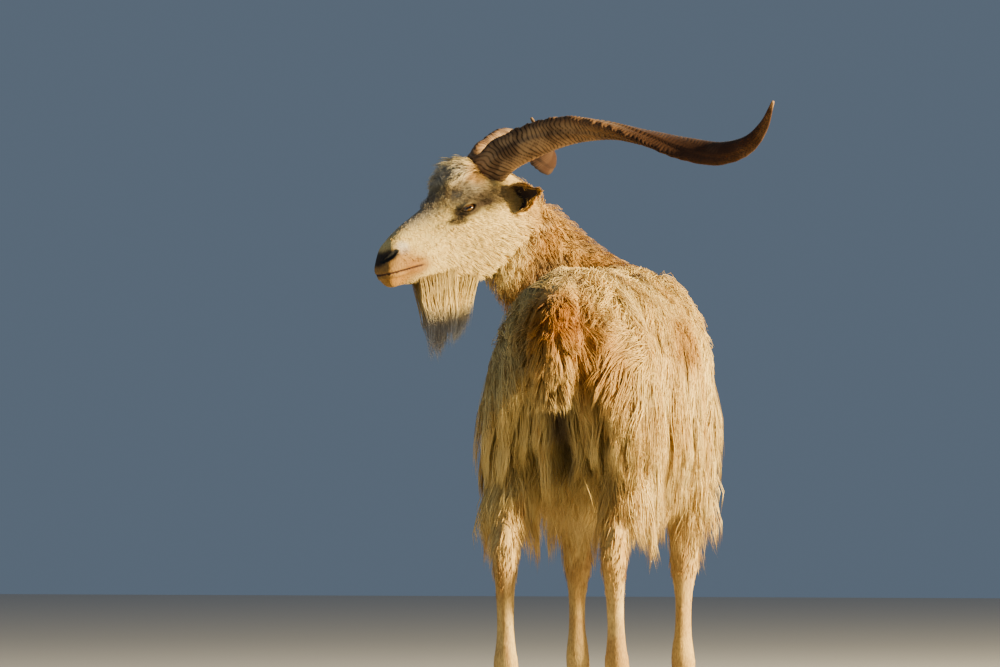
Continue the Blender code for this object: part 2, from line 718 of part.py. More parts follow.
def trunk_locks(core, under, rng, collection):
    """Locks in overlapping tiers: down each side from the parting, round the rump and over the chest."""
    tree = surface_of([core])
    made = []
    for tier, (angle, length, rise) in enumerate(SIDE_TIERS):
        for k in range(SIDE_LOCKS):
            for side in (1, -1):
                share = (k + 0.5 * (tier % 2) + rng.uniform(-0.15, 0.15)) / (SIDE_LOCKS - 0.5)
                lean = math.radians(angle + rng.uniform(-5, 5))
                middle = place(SIDE_START + SIDE_SPAN * share, 0, SIDE_MIDDLE)
                spot, normal = shoot(tree, middle, (side * math.cos(lean), 0, math.sin(lean)))
                lie = Vector((side * 0.7, 0.28 + rng.uniform(-0.12, 0.12), -1.0))
                size = (length * rng.uniform(0.88, 1.12), SIDE_WIDTH * rng.uniform(0.85, 1.15), LOCK_THICK)
                height = rise * rng.uniform(0.8, 1.2)
                made.append(lock(under, spot, normal, lie, size, height, CLING, collection))
    for (ahead, up), facing, spread, count, rows in END_LOCKS:
        for tier, (rise_angle, length, rise) in enumerate(rows):
            across = count + tier % 2
            lift = math.radians(rise_angle)
            for k in range(across):
                turn = math.radians(spread * (2 * (k + 0.5) / across - 1) + rng.uniform(-4, 4))
                direction = Vector((math.sin(turn), facing * math.cos(turn), math.tan(lift))).normalized()
                spot, normal = shoot(tree, place(ahead, 0, up), direction)
                lie = Vector((math.copysign(0.35, direction.x), facing * 0.15, -1.0))
                size = (length * rng.uniform(0.88, 1.12), SIDE_WIDTH * rng.uniform(0.8, 1.0), LOCK_THICK)
                height = rise * rng.uniform(0.8, 1.2)
                made.append(lock(under, spot, normal, lie, size, height, CLING, collection))
    return made


def neck_locks(core, rng, collection):
    """Short, full locks round the neck that lie towards the body, and longer ones under the throat."""
    tree = surface_of([core])
    rows = curve_through(NECK, 40)
    made = []
    for ring, t in enumerate(NECK_RINGS):
        row = rows[int(t * 39)]
        centre = place(*row[:3])
        along = (place(*rows[max(0, int(t * 39) - 3)][:3]) - centre).normalized()
        across = along.cross(Vector((0, 0, 1))).normalized()
        upward = across.cross(along)
        for k in range(NECK_LOCKS):
            angle = 2 * math.pi * (k + 0.5 * (ring % 2)) / NECK_LOCKS + rng.uniform(-0.1, 0.1)
            direction = across * math.cos(angle) + upward * math.sin(angle)
            spot, normal, _, _ = tree.ray_cast(centre, direction)
            if spot is None:
                continue
            if normal.dot(direction) < 0:
                normal = -normal
            low = 0.5 - 0.5 * math.sin(angle)
            length = NECK_LENGTH * (0.8 + 0.6 * low) * rng.uniform(0.9, 1.1)
            lie = along + Vector((0, 0, -0.9)) * (0.35 + low)
            size = (length, NECK_WIDTH * rng.uniform(0.85, 1.15), LOCK_THICK)
            height = NECK_RISE * rng.uniform(0.8, 1.3)
            made.append(lock(tree, spot, normal, lie, size, height, CLING, collection))
    return made


def tassel(core, spots, lie, shape, rng, collection):
    """Locks all round a small core, such as the tail's or the beard's, hanging along one lie."""
    length, width, rise = shape
    tree = surface_of([core])
    made = []
    for centre, count, share in spots:
        shorter = length * (1.0 - 0.22 * share)
        for k in range(count):
            angle = 2 * math.pi * (k + rng.uniform(-0.15, 0.15)) / count + share
            aim = Vector((math.cos(angle), math.sin(angle), 0.0))
            spot, normal, _, _ = tree.ray_cast(centre, aim)
            if spot is None:
                continue
            if normal.dot(aim) < 0:
                normal = -normal
            size = (shorter * rng.uniform(0.85, 1.15), width * rng.uniform(0.85, 1.15), LOCK_THICK * 0.8)
            lift = rise * rng.uniform(0.9, 1.3)
            made.append(lock(tree, spot, normal, lie, size, lift, TASSEL_CLING, collection))
    return made


def forelock(core, rng, collection):
    """The tuft before the horns, lying forward and down the forehead."""
    tree = surface_of([core])
    turn = head_matrix().to_3x3()
    made = []
    for row, (forward, count, length) in enumerate(FORELOCK):
        for k in range(count):
            left = FORELOCK_SPREAD * ((k + 0.5) / count - 0.5) + rng.uniform(-0.003, 0.003)
            spot, normal = shoot(tree, in_head(forward, left, 0.02), turn @ Vector((0, 0, 1)))
            lie = turn @ Vector((1.0, left * 5, 0.10))
            width, thick = FORELOCK_SIZE
            size = (length * rng.uniform(0.85, 1.15), width * rng.uniform(0.85, 1.15), thick)
            height = FORELOCK_RISE * rng.uniform(0.8, 1.4)
            made.append(lock(tree, spot, normal, lie, size, height, CLING, collection))
    return made


def upper_limb(name, side, collection):
    """The thigh or shoulder, which belongs to the trunk, down to just above the elbow or stifle."""
    stations = FORE_LEG if name.startswith("fore") else HIND_LEG
    wider, deeper = HAUNCH_SCALE
    kept = [(a, side * l, u, w * wider, d * deeper) for a, l, u, w, d in stations if u > HAUNCH_FOOT]
    rows = curve_through(kept, 5)
    centres = np.array([place(*row[:3]) for row in rows])
    return skin_rings("haunch", tube_rings(centres, rows[:, 3], rows[:, 4], 8), collection)


def finish(item, colour, roughness):
    material = bpy.data.materials.new(item.name + "_finish")
    material.use_nodes = True
    shader = material.node_tree.nodes["Principled BSDF"]
    shader.inputs["Base Color"].default_value = (*colour, 1.0)
    shader.inputs["Roughness"].default_value = roughness
    shader.inputs["Metallic"].default_value = 0.0
    item.data.materials.clear()
    item.data.materials.append(material)


def stand_on_centre(collection):
    """Moves every part so that the middle of the goat's box is over the origin and it stands on the floor."""
    corners = np.array([v.co for item in collection.objects for v in item.data.vertices])
    low, high = corners.min(axis=0), corners.max(axis=0)
    shift = Matrix.Translation((-(low[0] + high[0]) / 2, -(low[1] + high[1]) / 2, -low[2]))
    for item in collection.objects:
        item.data.transform(shift)


def side_of(name):
    return 1 if name.endswith("left") else -1


def tail_rings():
    rows = curve_through(TAIL, 8)
    centres = np.array([place(*row[:3]) for row in rows])
    return tube_rings(centres, rows[:, 3], rows[:, 4], 8)


def main():
    clear_scene()
    draws = {name: random.Random(seed) for name, seed in SEEDS.items()}
    goat = bpy.data.collections.new("billy_goat")
    bpy.context.scene.collection.children.link(goat)
    skull = head(goat)
    combine(skull, forelock(skull, draws["forelock"], goat), "UNION")
    even_out(skull)
    eyes = [fit_against(eye(side, goat), [skull], goat) for side in (1, -1)]
    horns = [horn(side, goat) for side in (1, -1)]
    ears = [ear(side, goat) for side in (1, -1)]
    for item in horns:
        fit_against(item, [skull], goat)
    for item, blade in zip(ears, horns):
        fit_against(item, [skull, blade], goat)
    beard = rope("beard", [in_head(*row[:3]) for row in BEARD], [row[4] for row in BEARD], 6, goat, 0.8)
    spots = [(in_head(*BEARD[1][:3]), 5, 0.0), (in_head(*BEARD[2][:3]), 4, 0.5)]
    combine(beard, tassel(beard, spots, Vector((0, 0, -1)), BEARD_LOCK, draws["beard"], goat), "UNION")
    even_out(beard)
    fit_against(beard, [skull], goat)
    body = trunk(goat)
    combine(body, [upper_limb(name, side_of(name), goat) for name in LEG_STEPS], "UNION")
    legs = {name: leg(name, side_of(name), goat) for name in LEG_STEPS}
    under = surface_of([body, *legs.values()])
    combine(body, trunk_locks(body, under, draws["torso"], goat), "UNION")
    even_out(body)
    throat = neck(goat)
    throat.name = "neck"
    combine(throat, neck_locks(throat, draws["neck"], goat), "UNION")
    even_out(throat)
    fit_against(throat, [skull, *ears, *horns, beard], goat)
    fit_against(throat, [body], goat)
    tail = skin_rings("tail", tail_rings(), goat)
    spots = [(place(*TAIL[k][:3]), count, share) for k, count, share in ((1, 4, 0.0), (2, 5, 0.3))]
    combine(tail, tassel(tail, spots, Vector((0, 0.1, -1)), TAIL_LOCK, draws["tail"], goat), "UNION")
    even_out(tail)
    fit_against(tail, [body], goat)
    feet = []
    for name, item in legs.items():
        side = side_of(name)
        stations = FORE_LEG if name.startswith("fore") else HIND_LEG
        toe = (stations[-1][0] + LEG_STEPS[name], stations[-1][1])
        hooves = claws(name, side, toe, goat)
        fit_against(item, [body, *hooves], goat)
        fit_against(item, [throat], goat)
        feet += hooves
    for item in (skull, body, throat, tail, beard, *ears, *legs.values()):
        finish(item, COAT_COLOUR, 0.85)
    for item in eyes:
        finish(item, EYE_COLOUR, 0.15)
    for item in (*horns, *feet):
        finish(item, HORN_COLOUR, 0.55)
    stand_on_centre(goat)


main()
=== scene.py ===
import json
import math

import bpy
import numpy as np
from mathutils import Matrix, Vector
from mathutils.bvhtree import BVHTree

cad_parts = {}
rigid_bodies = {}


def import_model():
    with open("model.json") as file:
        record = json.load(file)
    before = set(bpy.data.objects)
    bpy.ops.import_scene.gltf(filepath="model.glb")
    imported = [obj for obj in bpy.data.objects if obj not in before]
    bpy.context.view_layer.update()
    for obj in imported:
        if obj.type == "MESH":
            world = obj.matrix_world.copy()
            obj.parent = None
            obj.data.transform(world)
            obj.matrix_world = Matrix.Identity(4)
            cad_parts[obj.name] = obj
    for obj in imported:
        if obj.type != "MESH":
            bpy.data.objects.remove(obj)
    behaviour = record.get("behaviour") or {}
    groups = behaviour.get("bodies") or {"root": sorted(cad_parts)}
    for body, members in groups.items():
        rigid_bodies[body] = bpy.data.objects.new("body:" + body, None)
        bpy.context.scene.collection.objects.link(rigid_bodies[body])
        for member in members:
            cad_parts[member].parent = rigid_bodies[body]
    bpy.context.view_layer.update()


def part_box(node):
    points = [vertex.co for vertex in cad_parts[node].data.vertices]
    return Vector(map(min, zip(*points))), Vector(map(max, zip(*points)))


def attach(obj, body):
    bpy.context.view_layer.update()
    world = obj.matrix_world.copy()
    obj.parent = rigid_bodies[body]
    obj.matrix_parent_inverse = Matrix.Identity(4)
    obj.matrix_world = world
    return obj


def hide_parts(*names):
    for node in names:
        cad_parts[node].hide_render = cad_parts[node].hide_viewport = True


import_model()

rng = np.random.default_rng(7)

# The body faces -Y, its left is +X and the floor is Z = 0. Lengths are in metres.
centreLeft = -0.018
centreAhead = 0.052


def place(rows):
    # ahead, left, up become X, Y, Z: (left - centreLeft, centreAhead - ahead, up), moved to the frame's middle
    rows = np.asarray(rows, float)
    return np.stack([rows[..., 1] - centreLeft, centreAhead - rows[..., 0], rows[..., 2]], axis=-1) + shift


def unit(vectors):
    return vectors / np.maximum(np.linalg.norm(vectors, axis=-1, keepdims=True), 1e-9)


def dot(a, b):
    return (a * b).sum(axis=-1)


def ramp(past, over):
    # 0 to 1 while past runs from 0 to over
    return np.clip(past / over, 0, 1)


def circle(count):
    return np.linspace(0, 2 * np.pi, count, endpoint=False)


def smoothRows(stations, count):
    # cubic Hermite curve through the stations, sampled evenly by the length along its first three columns
    table = np.array(stations, float)
    span = np.linalg.norm(np.diff(table[:, :3], axis=0), axis=1)
    knots = np.concatenate([[0.0], np.cumsum(span)])
    slopes = np.gradient(table, knots, axis=0)
    wanted = np.linspace(0.0, knots[-1], count)
    i = np.clip(np.searchsorted(knots, wanted, side="right") - 1, 0, len(span) - 1)
    t = ((wanted - knots[i]) / span[i])[:, None]
    step = span[i][:, None]
    return (
        (2 * t**3 - 3 * t**2 + 1) * table[i] + (t**3 - 2 * t**2 + t) * step * slopes[i]
        + (3 * t**2 - 2 * t**3) * table[i + 1] + (t**3 - t**2) * step * slopes[i + 1]
    )


def addMesh(name, points, faces):
    # one object from an array of points and arrays of faces of three or four corners
    faces = [np.asarray(f, np.int32) for f in (faces if isinstance(faces, list) else [faces]) if len(f)]
    loops = np.concatenate([f.ravel() for f in faces])
    sizes = np.concatenate([np.full(len(f), f.shape[1]) for f in faces])
    mesh = bpy.data.meshes.new(name)
    mesh.vertices.add(len(points))
    mesh.vertices.foreach_set("co", np.ascontiguousarray(points, np.float32).ravel())
    mesh.loops.add(len(loops))
    mesh.loops.foreach_set("vertex_index", loops.astype(np.int32))
    mesh.polygons.add(len(sizes))
    mesh.polygons.foreach_set("loop_start", np.concatenate([[0], np.cumsum(sizes)[:-1]]).astype(np.int32))
    mesh.update(calc_edges=True)
    mesh.polygons.foreach_set("use_smooth", np.ones(len(sizes), bool))
    made = bpy.data.objects.new(name, mesh)
    bpy.context.scene.collection.objects.link(made)
    return made


def gridFaces(rows, sides):
    # quads between rows of points that close round, and a fan to a pole at each end
    r, s = np.meshgrid(np.arange(rows - 1), np.arange(sides), indexing="ij")
    n = (s + 1) % sides
    quads = np.stack([r * sides + s, r * sides + n, (r + 1) * sides + n, (r + 1) * sides + s], -1).reshape(-1, 4)
    s = np.arange(sides)
    n = (s + 1) % sides
    first = np.stack([n, s, np.full(sides, rows * sides)], -1)
    last = np.stack([(rows - 1) * sides + s, (rows - 1) * sides + n, np.full(sides, rows * sides + 1)], -1)
    return [quads, np.concatenate([first, last])]


def loft(name, rings):
    # a closed surface through rings of points, its ends closed at their middles, its faces turned outwards
    rings = np.asarray(rings, float)
    rows, sides = rings.shape[:2]
    points = np.concatenate([rings.reshape(-1, 3), [rings[0].mean(axis=0), rings[-1].mean(axis=0)]])
    faces = gridFaces(rows, sides)
    middle = rings.mean(axis=1)
    along = np.gradient(middle, axis=0)
    turn = np.cross(rings[:, 0] - middle, rings[:, 1] - middle)
    if dot(turn, along).sum() < 0:
        faces = [f[:, ::-1] for f in faces]
    return addMesh(name, points, faces)


def asForm(rings, centre, axes, wide, tall):
    # rings with each one's middle, its directions along, across and deep, and its half widths
    along, across, deep = [np.broadcast_to(axis, centre.shape) for axis in axes]
    return dict(rings=rings, centre=centre, along=along, across=across, deep=deep, wide=wide, tall=tall)


def tubeForm(rows, sides, squash=1.0):
    # ring = centre + across * wide * cos(a) + deep * tall * sin(a), across level and square to the path;
    # where the path stands up, across comes from Y, and on a path that mostly stands up it is X throughout
    centre = rows[:, :3]
    along = unit(np.gradient(centre, axis=0))
    across = np.cross(along, [0.0, 0.0, 1.0])
    upright = np.linalg.norm(across, axis=1) < 0.6
    across[upright] = np.cross(along[upright], [0.0, 1.0, 0.0])
    if upright.mean() > 0.5:
        across = np.tile([1.0, 0.0, 0.0], (len(centre), 1))
    across = unit(across)
    deep = np.cross(across, along)
    wide, tall = rows[:, 3], rows[:, -1] * squash
    angles = circle(sides)
    rings = (
        centre[:, None] + across[:, None] * (wide[:, None] * np.cos(angles))[..., None]
        + deep[:, None] * (tall[:, None] * np.sin(angles))[..., None]
    )
    return asForm(rings, centre, (along, across, deep), wide, tall)


def rope(name, points, radii, sides, squash=1.0, count=24):
    rows = smoothRows([(*p, r) for p, r in zip(points, radii)], count)
    return loft(name, tubeForm(rows, sides, squash)["rings"])


def ballRings(radius, count, sides):
    # rings of a ball about the origin, from its lowest to its highest
    lean = np.linspace(-np.pi / 2, np.pi / 2, count + 2)[1:-1, None]
    angles = circle(sides)
    level = np.broadcast_to(np.sin(lean), (count, sides))
    return radius * np.stack([np.cos(lean) * np.cos(angles), np.cos(lean) * np.sin(angles), level], -1)


def surfaceTree(made):
    corners = np.zeros(len(made.data.vertices) * 3)
    made.data.vertices.foreach_get("co", corners)
    return BVHTree.FromPolygons(corners.reshape(-1, 3).tolist(), [tuple(p.vertices) for p in made.data.polygons])


def shoot(tree, start, aim):
    # the outermost place where a ray from inside meets the surface, and the outward direction there
    aim = Vector(aim).normalized()
    outside = Vector(start) + aim * 0.8
    spot, normal, _, _ = tree.ray_cast(outside, -aim)
    normal = normal if normal.dot(aim) > 0 else -normal
    return np.array(spot), np.array(normal)


def applied(made):
    # the object's modifiers worked into its mesh
    graph = bpy.context.evaluated_depsgraph_get()
    graph.update()
    mesh = bpy.data.meshes.new_from_object(made.evaluated_get(graph))
    made.modifiers.clear()
    made.data = mesh
    mesh.name = made.name
    return made


def combine(made, others, operation):
    # a Boolean of the object with all the others, which are then removed
    bench = bpy.data.collections.new("bench")
    bpy.context.scene.collection.children.link(bench)
    for other in others:
        bpy.context.scene.collection.objects.unlink(other)
        bench.objects.link(other)
    boolean = made.modifiers.new("join", "BOOLEAN")
    boolean.operation = operation
    boolean.operand_type = "COLLECTION"
    boolean.collection = bench
    boolean.solver = "MANIFOLD"
    applied(made)
    for other in others:
        bpy.data.objects.remove(other)
    bpy.data.collections.remove(bench)
    return made


def join(made, others):
    # the others' meshes added to the object's own
    with bpy.context.temp_override(active_object=made, selected_editable_objects=[made, *others]):
        bpy.ops.object.join()
    return made


def remesh(made, voxel, rounds, factor=0.5):
    # one even skin over everything in the mesh, then smoothed
    grid = made.modifiers.new("even", "REMESH")
    grid.mode = "VOXEL"
    grid.voxel_size = voxel
    grid.use_smooth_shade = True
    relax = made.modifiers.new("relax", "SMOOTH")
    relax.factor = factor
    relax.iterations = rounds
    return applied(made)


def setPointValues(made, name, values):
    layer = made.data.attributes.new(name, "FLOAT", "POINT")
    layer.data.foreach_set("value", np.ascontiguousarray(values, np.float32))


# the flesh, as stations along each part: ahead, left, up, half width, half depth
flesh = {
    "trunk": [  # ahead, top, belly, half width
        (-0.425, 0.682, 0.575, 0.034), (-0.402, 0.728, 0.520, 0.078), (-0.345, 0.760, 0.458, 0.110),
        (-0.250, 0.772, 0.425, 0.130), (-0.120, 0.770, 0.405, 0.150), (0.000, 0.763, 0.385, 0.166),
        (0.120, 0.766, 0.378, 0.170), (0.220, 0.777, 0.385, 0.157), (0.310, 0.785, 0.410, 0.136),
        (0.380, 0.765, 0.445, 0.112), (0.430, 0.715, 0.500, 0.078), (0.452, 0.660, 0.560, 0.034),
    ],
    "neck": [
        (0.270, 0.000, 0.615, 0.100, 0.150), (0.375, 0.008, 0.635, 0.092, 0.138),
        (0.455, 0.052, 0.662, 0.080, 0.120), (0.500, 0.118, 0.704, 0.072, 0.107),
        (0.502, 0.185, 0.760, 0.066, 0.099), (0.480, 0.238, 0.822, 0.060, 0.092),
        (0.445, 0.286, 0.856, 0.054, 0.082),
    ],
    "hindLeg": [
        (-0.265, 0.062, 0.680, 0.050, 0.085), (-0.270, 0.082, 0.600, 0.066, 0.128),
        (-0.262, 0.094, 0.520, 0.062, 0.124), (-0.262, 0.098, 0.445, 0.049, 0.088),
        (-0.310, 0.096, 0.380, 0.036, 0.056), (-0.362, 0.092, 0.320, 0.027, 0.037),
        (-0.388, 0.090, 0.280, 0.024, 0.036), (-0.384, 0.090, 0.235, 0.020, 0.025),
        (-0.374, 0.090, 0.150, 0.018, 0.021), (-0.368, 0.090, 0.092, 0.024, 0.026),
        (-0.354, 0.090, 0.062, 0.023, 0.024), (-0.344, 0.090, 0.030, 0.026, 0.028),
    ],
    "foreLeg": [
        (0.255, 0.060, 0.700, 0.045, 0.080), (0.300, 0.088, 0.610, 0.060, 0.100),
        (0.310, 0.102, 0.530, 0.054, 0.088), (0.280, 0.104, 0.460, 0.044, 0.066),
        (0.272, 0.100, 0.380, 0.034, 0.044), (0.278, 0.096, 0.290, 0.027, 0.031),
        (0.284, 0.095, 0.255, 0.027, 0.031), (0.280, 0.095, 0.215, 0.020, 0.022),
        (0.276, 0.095, 0.140, 0.018, 0.020), (0.278, 0.095, 0.090, 0.024, 0.026),
        (0.290, 0.095, 0.060, 0.023, 0.024), (0.300, 0.095, 0.030, 0.026, 0.028),
    ],
    "tail": [
        (-0.370, 0.0, 0.690, 0.026, 0.020), (-0.420, 0.0, 0.690, 0.032, 0.022),
        (-0.452, 0.0, 0.655, 0.034, 0.021), (-0.462, 0.0, 0.605, 0.034, 0.021),
        (-0.463, 0.0, 0.570, 0.022, 0.014), (-0.462, 0.0, 0.548, 0.008, 0.005),
    ],
    "steps": {"foreLeft": 0.012, "foreRight": -0.016, "hindLeft": -0.022, "hindRight": 0.018},
    "stepFade": (0.45, 0.36),  # a step starts at this height and is whole this much lower
    "muscle": (0.43, 1.12, 1.08),  # the upper leg: from this height up, so much wider and deeper
    "thigh": (0.40, 0.10, 0.015),  # the leg's own tube thins from this height, over this much, by this much
    "powers": (0.92, 1.06, 0.95),  # of the trunk's sides, back and belly
    "widest": 0.42,  # of the trunk's height
    "inset": {"trunk": 0.024, "haunch": 0.026, "neck": 0.012, "leg": 0.0025, "tail": 0.006},  # room for the hair
    "least": 0.003,  # half width
    "voxel": 0.0075,
}


def trunkForm(inset):
    # side = wide * |cos a| ** 0.92, up to the top by |sin a| ** 1.06 and down to the belly by |sin a| ** 0.95
    rows = smoothRows([
        (a, 0, (t + b) / 2, t - inset, b + inset, max(w - inset * 1.15, 0.005)) for a, t, b, w in flesh["trunk"]
    ], 60)
    sidePower, backPower, bellyPower = flesh["powers"]
    angles = circle(64)
    level, rise = np.cos(angles), np.abs(np.sin(angles))
    top, belly, wide = rows[:, 3:4], rows[:, 4:5], rows[:, 5:6]
    widest = belly + flesh["widest"] * (top - belly)
    side = wide * np.sign(level) * np.abs(level) ** sidePower
    over, under = widest + (top - widest) * rise**backPower, widest - (widest - belly) * rise**bellyPower
    up = np.where(np.sin(angles) > 0, over, under)
    rings = place(np.stack([np.broadcast_to(rows[:, :1], side.shape), side, up], -1))
    centre = place(np.concatenate([rows[:, :2], (top + belly) / 2], axis=1))
    axes = [0.0, -1.0, 0.0], [1.0, 0.0, 0.0], [0.0, 0.0, 1.0]
    return asForm(rings, centre, axes, rows[:, 5], (rows[:, 3] - rows[:, 4]) / 2)


def bodyTube(stations, inset, count, sides):
    rows = smoothRows(stations, count)
    widths = np.maximum(rows[:, 3:] - inset, flesh["least"])
    return tubeForm(np.concatenate([place(rows[:, :3]), widths], axis=1), sides)


def ofLeg(name):
    # the leg's side and its stations
    return 1 if name.endswith("Left") else -1, flesh["foreLeg" if name.startswith("fore") else "hindLeg"]


def legForms(name):
    # a foot is set ahead by its leg's step, which fades out up to the elbow or the stifle; the leg's own tube
    # thins in the thigh, inside a shorter and wider one that stands for the muscle
    side, stations = ofLeg(name)
    fadeHeight, fadeOver = flesh["stepFade"]
    muscleHeight, wider, deeper = flesh["muscle"]
    thighHeight, thighOver, thinner = flesh["thigh"]
    stations = [
        (a + flesh["steps"][name] * ramp(fadeHeight - u, fadeOver), side * l, u, w, d) for a, l, u, w, d in stations
    ]
    muscle = [(a, l, u, w * wider, d * deeper) for a, l, u, w, d in stations if u > muscleHeight]
    thins = [thinner * ramp(u - thighHeight, thighOver) for _, _, u, _, _ in stations]
    stations = [(a, l, u, w - thin, d - thin) for (a, l, u, w, d), thin in zip(stations, thins)]
    return (
        bodyTube(stations, flesh["inset"]["leg"], 60, 28),
        bodyTube(muscle, flesh["inset"]["haunch"], 16, 28),
    )


# the head, in its own frame: forward from the atlas, left, and up from the palate's line
head = {
    "atlas": (0.475, 0.233, 0.8615),
    "turn": math.radians(126),
    "drop": math.radians(14.6),
    "stations": [  # forward, top, bottom, half widths low, middle and high
        (-0.030, 0.040, -0.030, 0.026, 0.034, 0.026), (-0.005, 0.068, -0.050, 0.040, 0.052, 0.042),
        (0.030, 0.096, -0.066, 0.042, 0.058, 0.052), (0.060, 0.112, -0.078, 0.040, 0.060, 0.058),
        (0.090, 0.113, -0.086, 0.036, 0.060, 0.060), (0.115, 0.106, -0.085, 0.033, 0.057, 0.058),
        (0.140, 0.090, -0.080, 0.030, 0.050, 0.046), (0.170, 0.066, -0.073, 0.028, 0.042, 0.032),
        (0.200, 0.052, -0.068, 0.028, 0.036, 0.026), (0.225, 0.042, -0.066, 0.027, 0.033, 0.024),
        (0.250, 0.028, -0.060, 0.024, 0.032, 0.026), (0.268, 0.014, -0.056, 0.022, 0.031, 0.026),
        (0.282, -0.002, -0.050, 0.018, 0.025, 0.020), (0.290, -0.013, -0.040, 0.010, 0.014, 0.010),
    ],
    "swellings": [  # place, reach, height: brow, cheek bone, the hollow over it, jaw, muzzle, lips, chin
        ((0.100, 0.055, 0.068), (0.032, 0.030, 0.016), 0.0085),
        ((0.150, 0.045, 0.020), (0.030, 0.030, 0.012), 0.0035),
        ((0.145, 0.045, 0.045), (0.022, 0.030, 0.016), -0.0045),
        ((0.060, 0.055, -0.030), (0.036, 0.040, 0.036), 0.0065),
        ((0.150, 0.035, -0.020), (0.035, 0.040, 0.022), -0.0040),
        ((0.262, 0.030, 0.004), (0.016, 0.030, 0.014), 0.0045),
        ((0.255, 0.030, -0.028), (0.030, 0.030, 0.012), 0.0030),
        ((0.272, 0.010, -0.055), (0.016, 0.020, 0.014), 0.0040),
    ],
    "inset": 0.0016,
    "nostril": [(0.283, 0.0170, -0.0115, 0.0026), (0.272, 0.0268, -0.0050, 0.0046), (0.259, 0.0310, 0.0020, 0.0034)],
    "mouth": [(0.212, 0.034, -0.030), (0.232, 0.034, -0.0335), (0.256, 0.031, -0.0345), (0.276, 0.023, -0.0345)],
    "mouthFront": (0.2905, 0.0, -0.033),
    "mouthAxis": 0.205,
    "lips": (0.0052, -0.0056),  # over and under the mouth's line
    "lipSunk": 0.0042,
    "lipRadii": (0.0030, 0.0056),  # at the corners, and between them
    "mouthRadii": (0.0040, 0.0062),
    "mouthSquash": 0.22,
    "tear": [(0.128, 0.046, 0.030), (0.140, 0.043, 0.022), (0.152, 0.041, 0.012)],
    "tearRadii": (0.0012, 0.0020, 0.0010),
    "voxel": 0.0014,
    "kept": 0.5,  # of the remeshed faces
}

eyes = {
    "place": (0.1125, 0.0400, 0.0420),
    "radius": 0.0155,
    "lid": 0.0024,
    "opening": [(0.0040, 0.0132, 0.0026), (0.0112, 0.0140, 0.0046), (0.0260, 0.0168, 0.0080)],
    "folds": [(0.0078, 0.0014, 0.0186, 0.0019), (-0.0064, -0.0012, 0.0180, 0.0014)],
    "socketGap": 0.0002,
    "ballGap": 0.0004,
    "bulge": 0.0007,  # of the cornea
    "looks": (0.26, 0.96, 0.12),
    "ahead": (0.96, -0.26, -0.20),
    "foldReach": 0.0160,
    "iris": 0.66,  # of the ball's radius
    "pupil": (0.36, 0.115),  # half width and height, of the ball's radius
}

ears = {
    "root": (0.034, 0.046, 0.036),
    "points": (-0.45, 0.88, 0.12),
    "opens": (0.887, 0.455, 0.058),
    "length": 0.074,
    "width": 0.052,
    "rings": 44,
    "half": 22,  # points over its back, and as many in its hollow
    "round": 1.16,  # how far it curls, in half turns
    "wall": (0.0045, 0.0026),  # at the root, and how much less at the tip
    "sunk": 0.012,
    "droop": 0.006,
    # the dark sheet of painted shade in the ear's hollow
    "shadeSheet": (0.0009, -0.0004),  # off the hollow's surface
}

turnSine, turnCosine = math.sin(head["turn"]), math.cos(head["turn"])
dropSine, dropCosine = math.sin(head["drop"]), math.cos(head["drop"])
headTurn = np.array([  # the head's forward, left and up
    [turnSine * dropCosine, -turnCosine * dropCosine, -dropSine],
    [turnCosine, turnSine, 0.0],
    [turnSine * dropSine, -turnCosine * dropSine, dropCosine],
])
earAxis = unit(np.array(ears["points"]))
earOpens = np.array(ears["opens"])
earOpens = unit(earOpens - earAxis * dot(earOpens, earAxis))
shift = np.zeros(3)  # until the eye's place in the frame is known
low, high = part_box("eye_left")
shift = (np.array(low) + np.array(high)) / 2 - (place(head["atlas"]) + np.array(eyes["place"]) @ headTurn)
print("frame: middle moved by", shift.round(4))


def inHead(points):
    # forward, left, up of the head become X, Y, Z
    return np.asarray(points, float) @ headTurn + place(head["atlas"])


def fromHead(points):
    # and back
    return (points - place(head["atlas"])) @ headTurn.T


def headForm(count, sides, inset):
    # each ring: side = wide * |cos a| ** 0.8 and height = (1 + sin a) / 2, where wide goes from the middle one to
    # the low and high ones by shares ** 1.2; each swelling adds rise * exp(-|(point - place) / reach| ** 2) outwards
    rows = smoothRows([(f, 0.0, (t + b) / 2, t, b, wl, wm, wh) for f, t, b, wl, wm, wh in head["stations"]], count)
    angles = circle(sides)
    height = (1 + np.sin(angles)) / 2
    lowShare = np.clip(1 - height / 0.5, 0, 1) ** 1.2
    highShare = ramp(height - 0.5, 0.5) ** 1.2
    top, bottom, wl, wm, wh = [rows[:, k : k + 1] for k in range(3, 8)]
    wide = wm + (wl - wm) * lowShare + (wh - wm) * highShare
    side = wide * np.sign(np.cos(angles)) * np.abs(np.cos(angles)) ** 0.8
    points = np.stack([np.broadcast_to(rows[:, :1], side.shape), side, bottom + (top - bottom) * height], -1)
    centre = np.stack([rows[:, 0], rows[:, 1], (rows[:, 3] + rows[:, 4]) / 2], -1)
    outward = unit(points - centre[:, None])
    swell = np.zeros(side.shape)
    for spot, reach, rise in head["swellings"]:
        for mirror in (1, -1):
            swell += rise * np.exp(-(((points * [1, mirror, 1] - spot) / reach) ** 2).sum(-1))
    points = points + outward * (swell - inset)[..., None]
    return asForm(inHead(points), inHead(centre), headTurn, rows[:, 6], (rows[:, 3] - rows[:, 4]) / 2)


def eyeAxes(side):
    # the eye's outward, forward and upward directions
    outward = unit(np.array(eyes["looks"]) * [1, side, 1]) @ headTurn
    forward = (np.array(eyes["ahead"]) * [1, side, 1]) @ headTurn
    forward = unit(forward - outward * dot(forward, outward))
    return outward, forward, np.cross(forward, outward) * -side


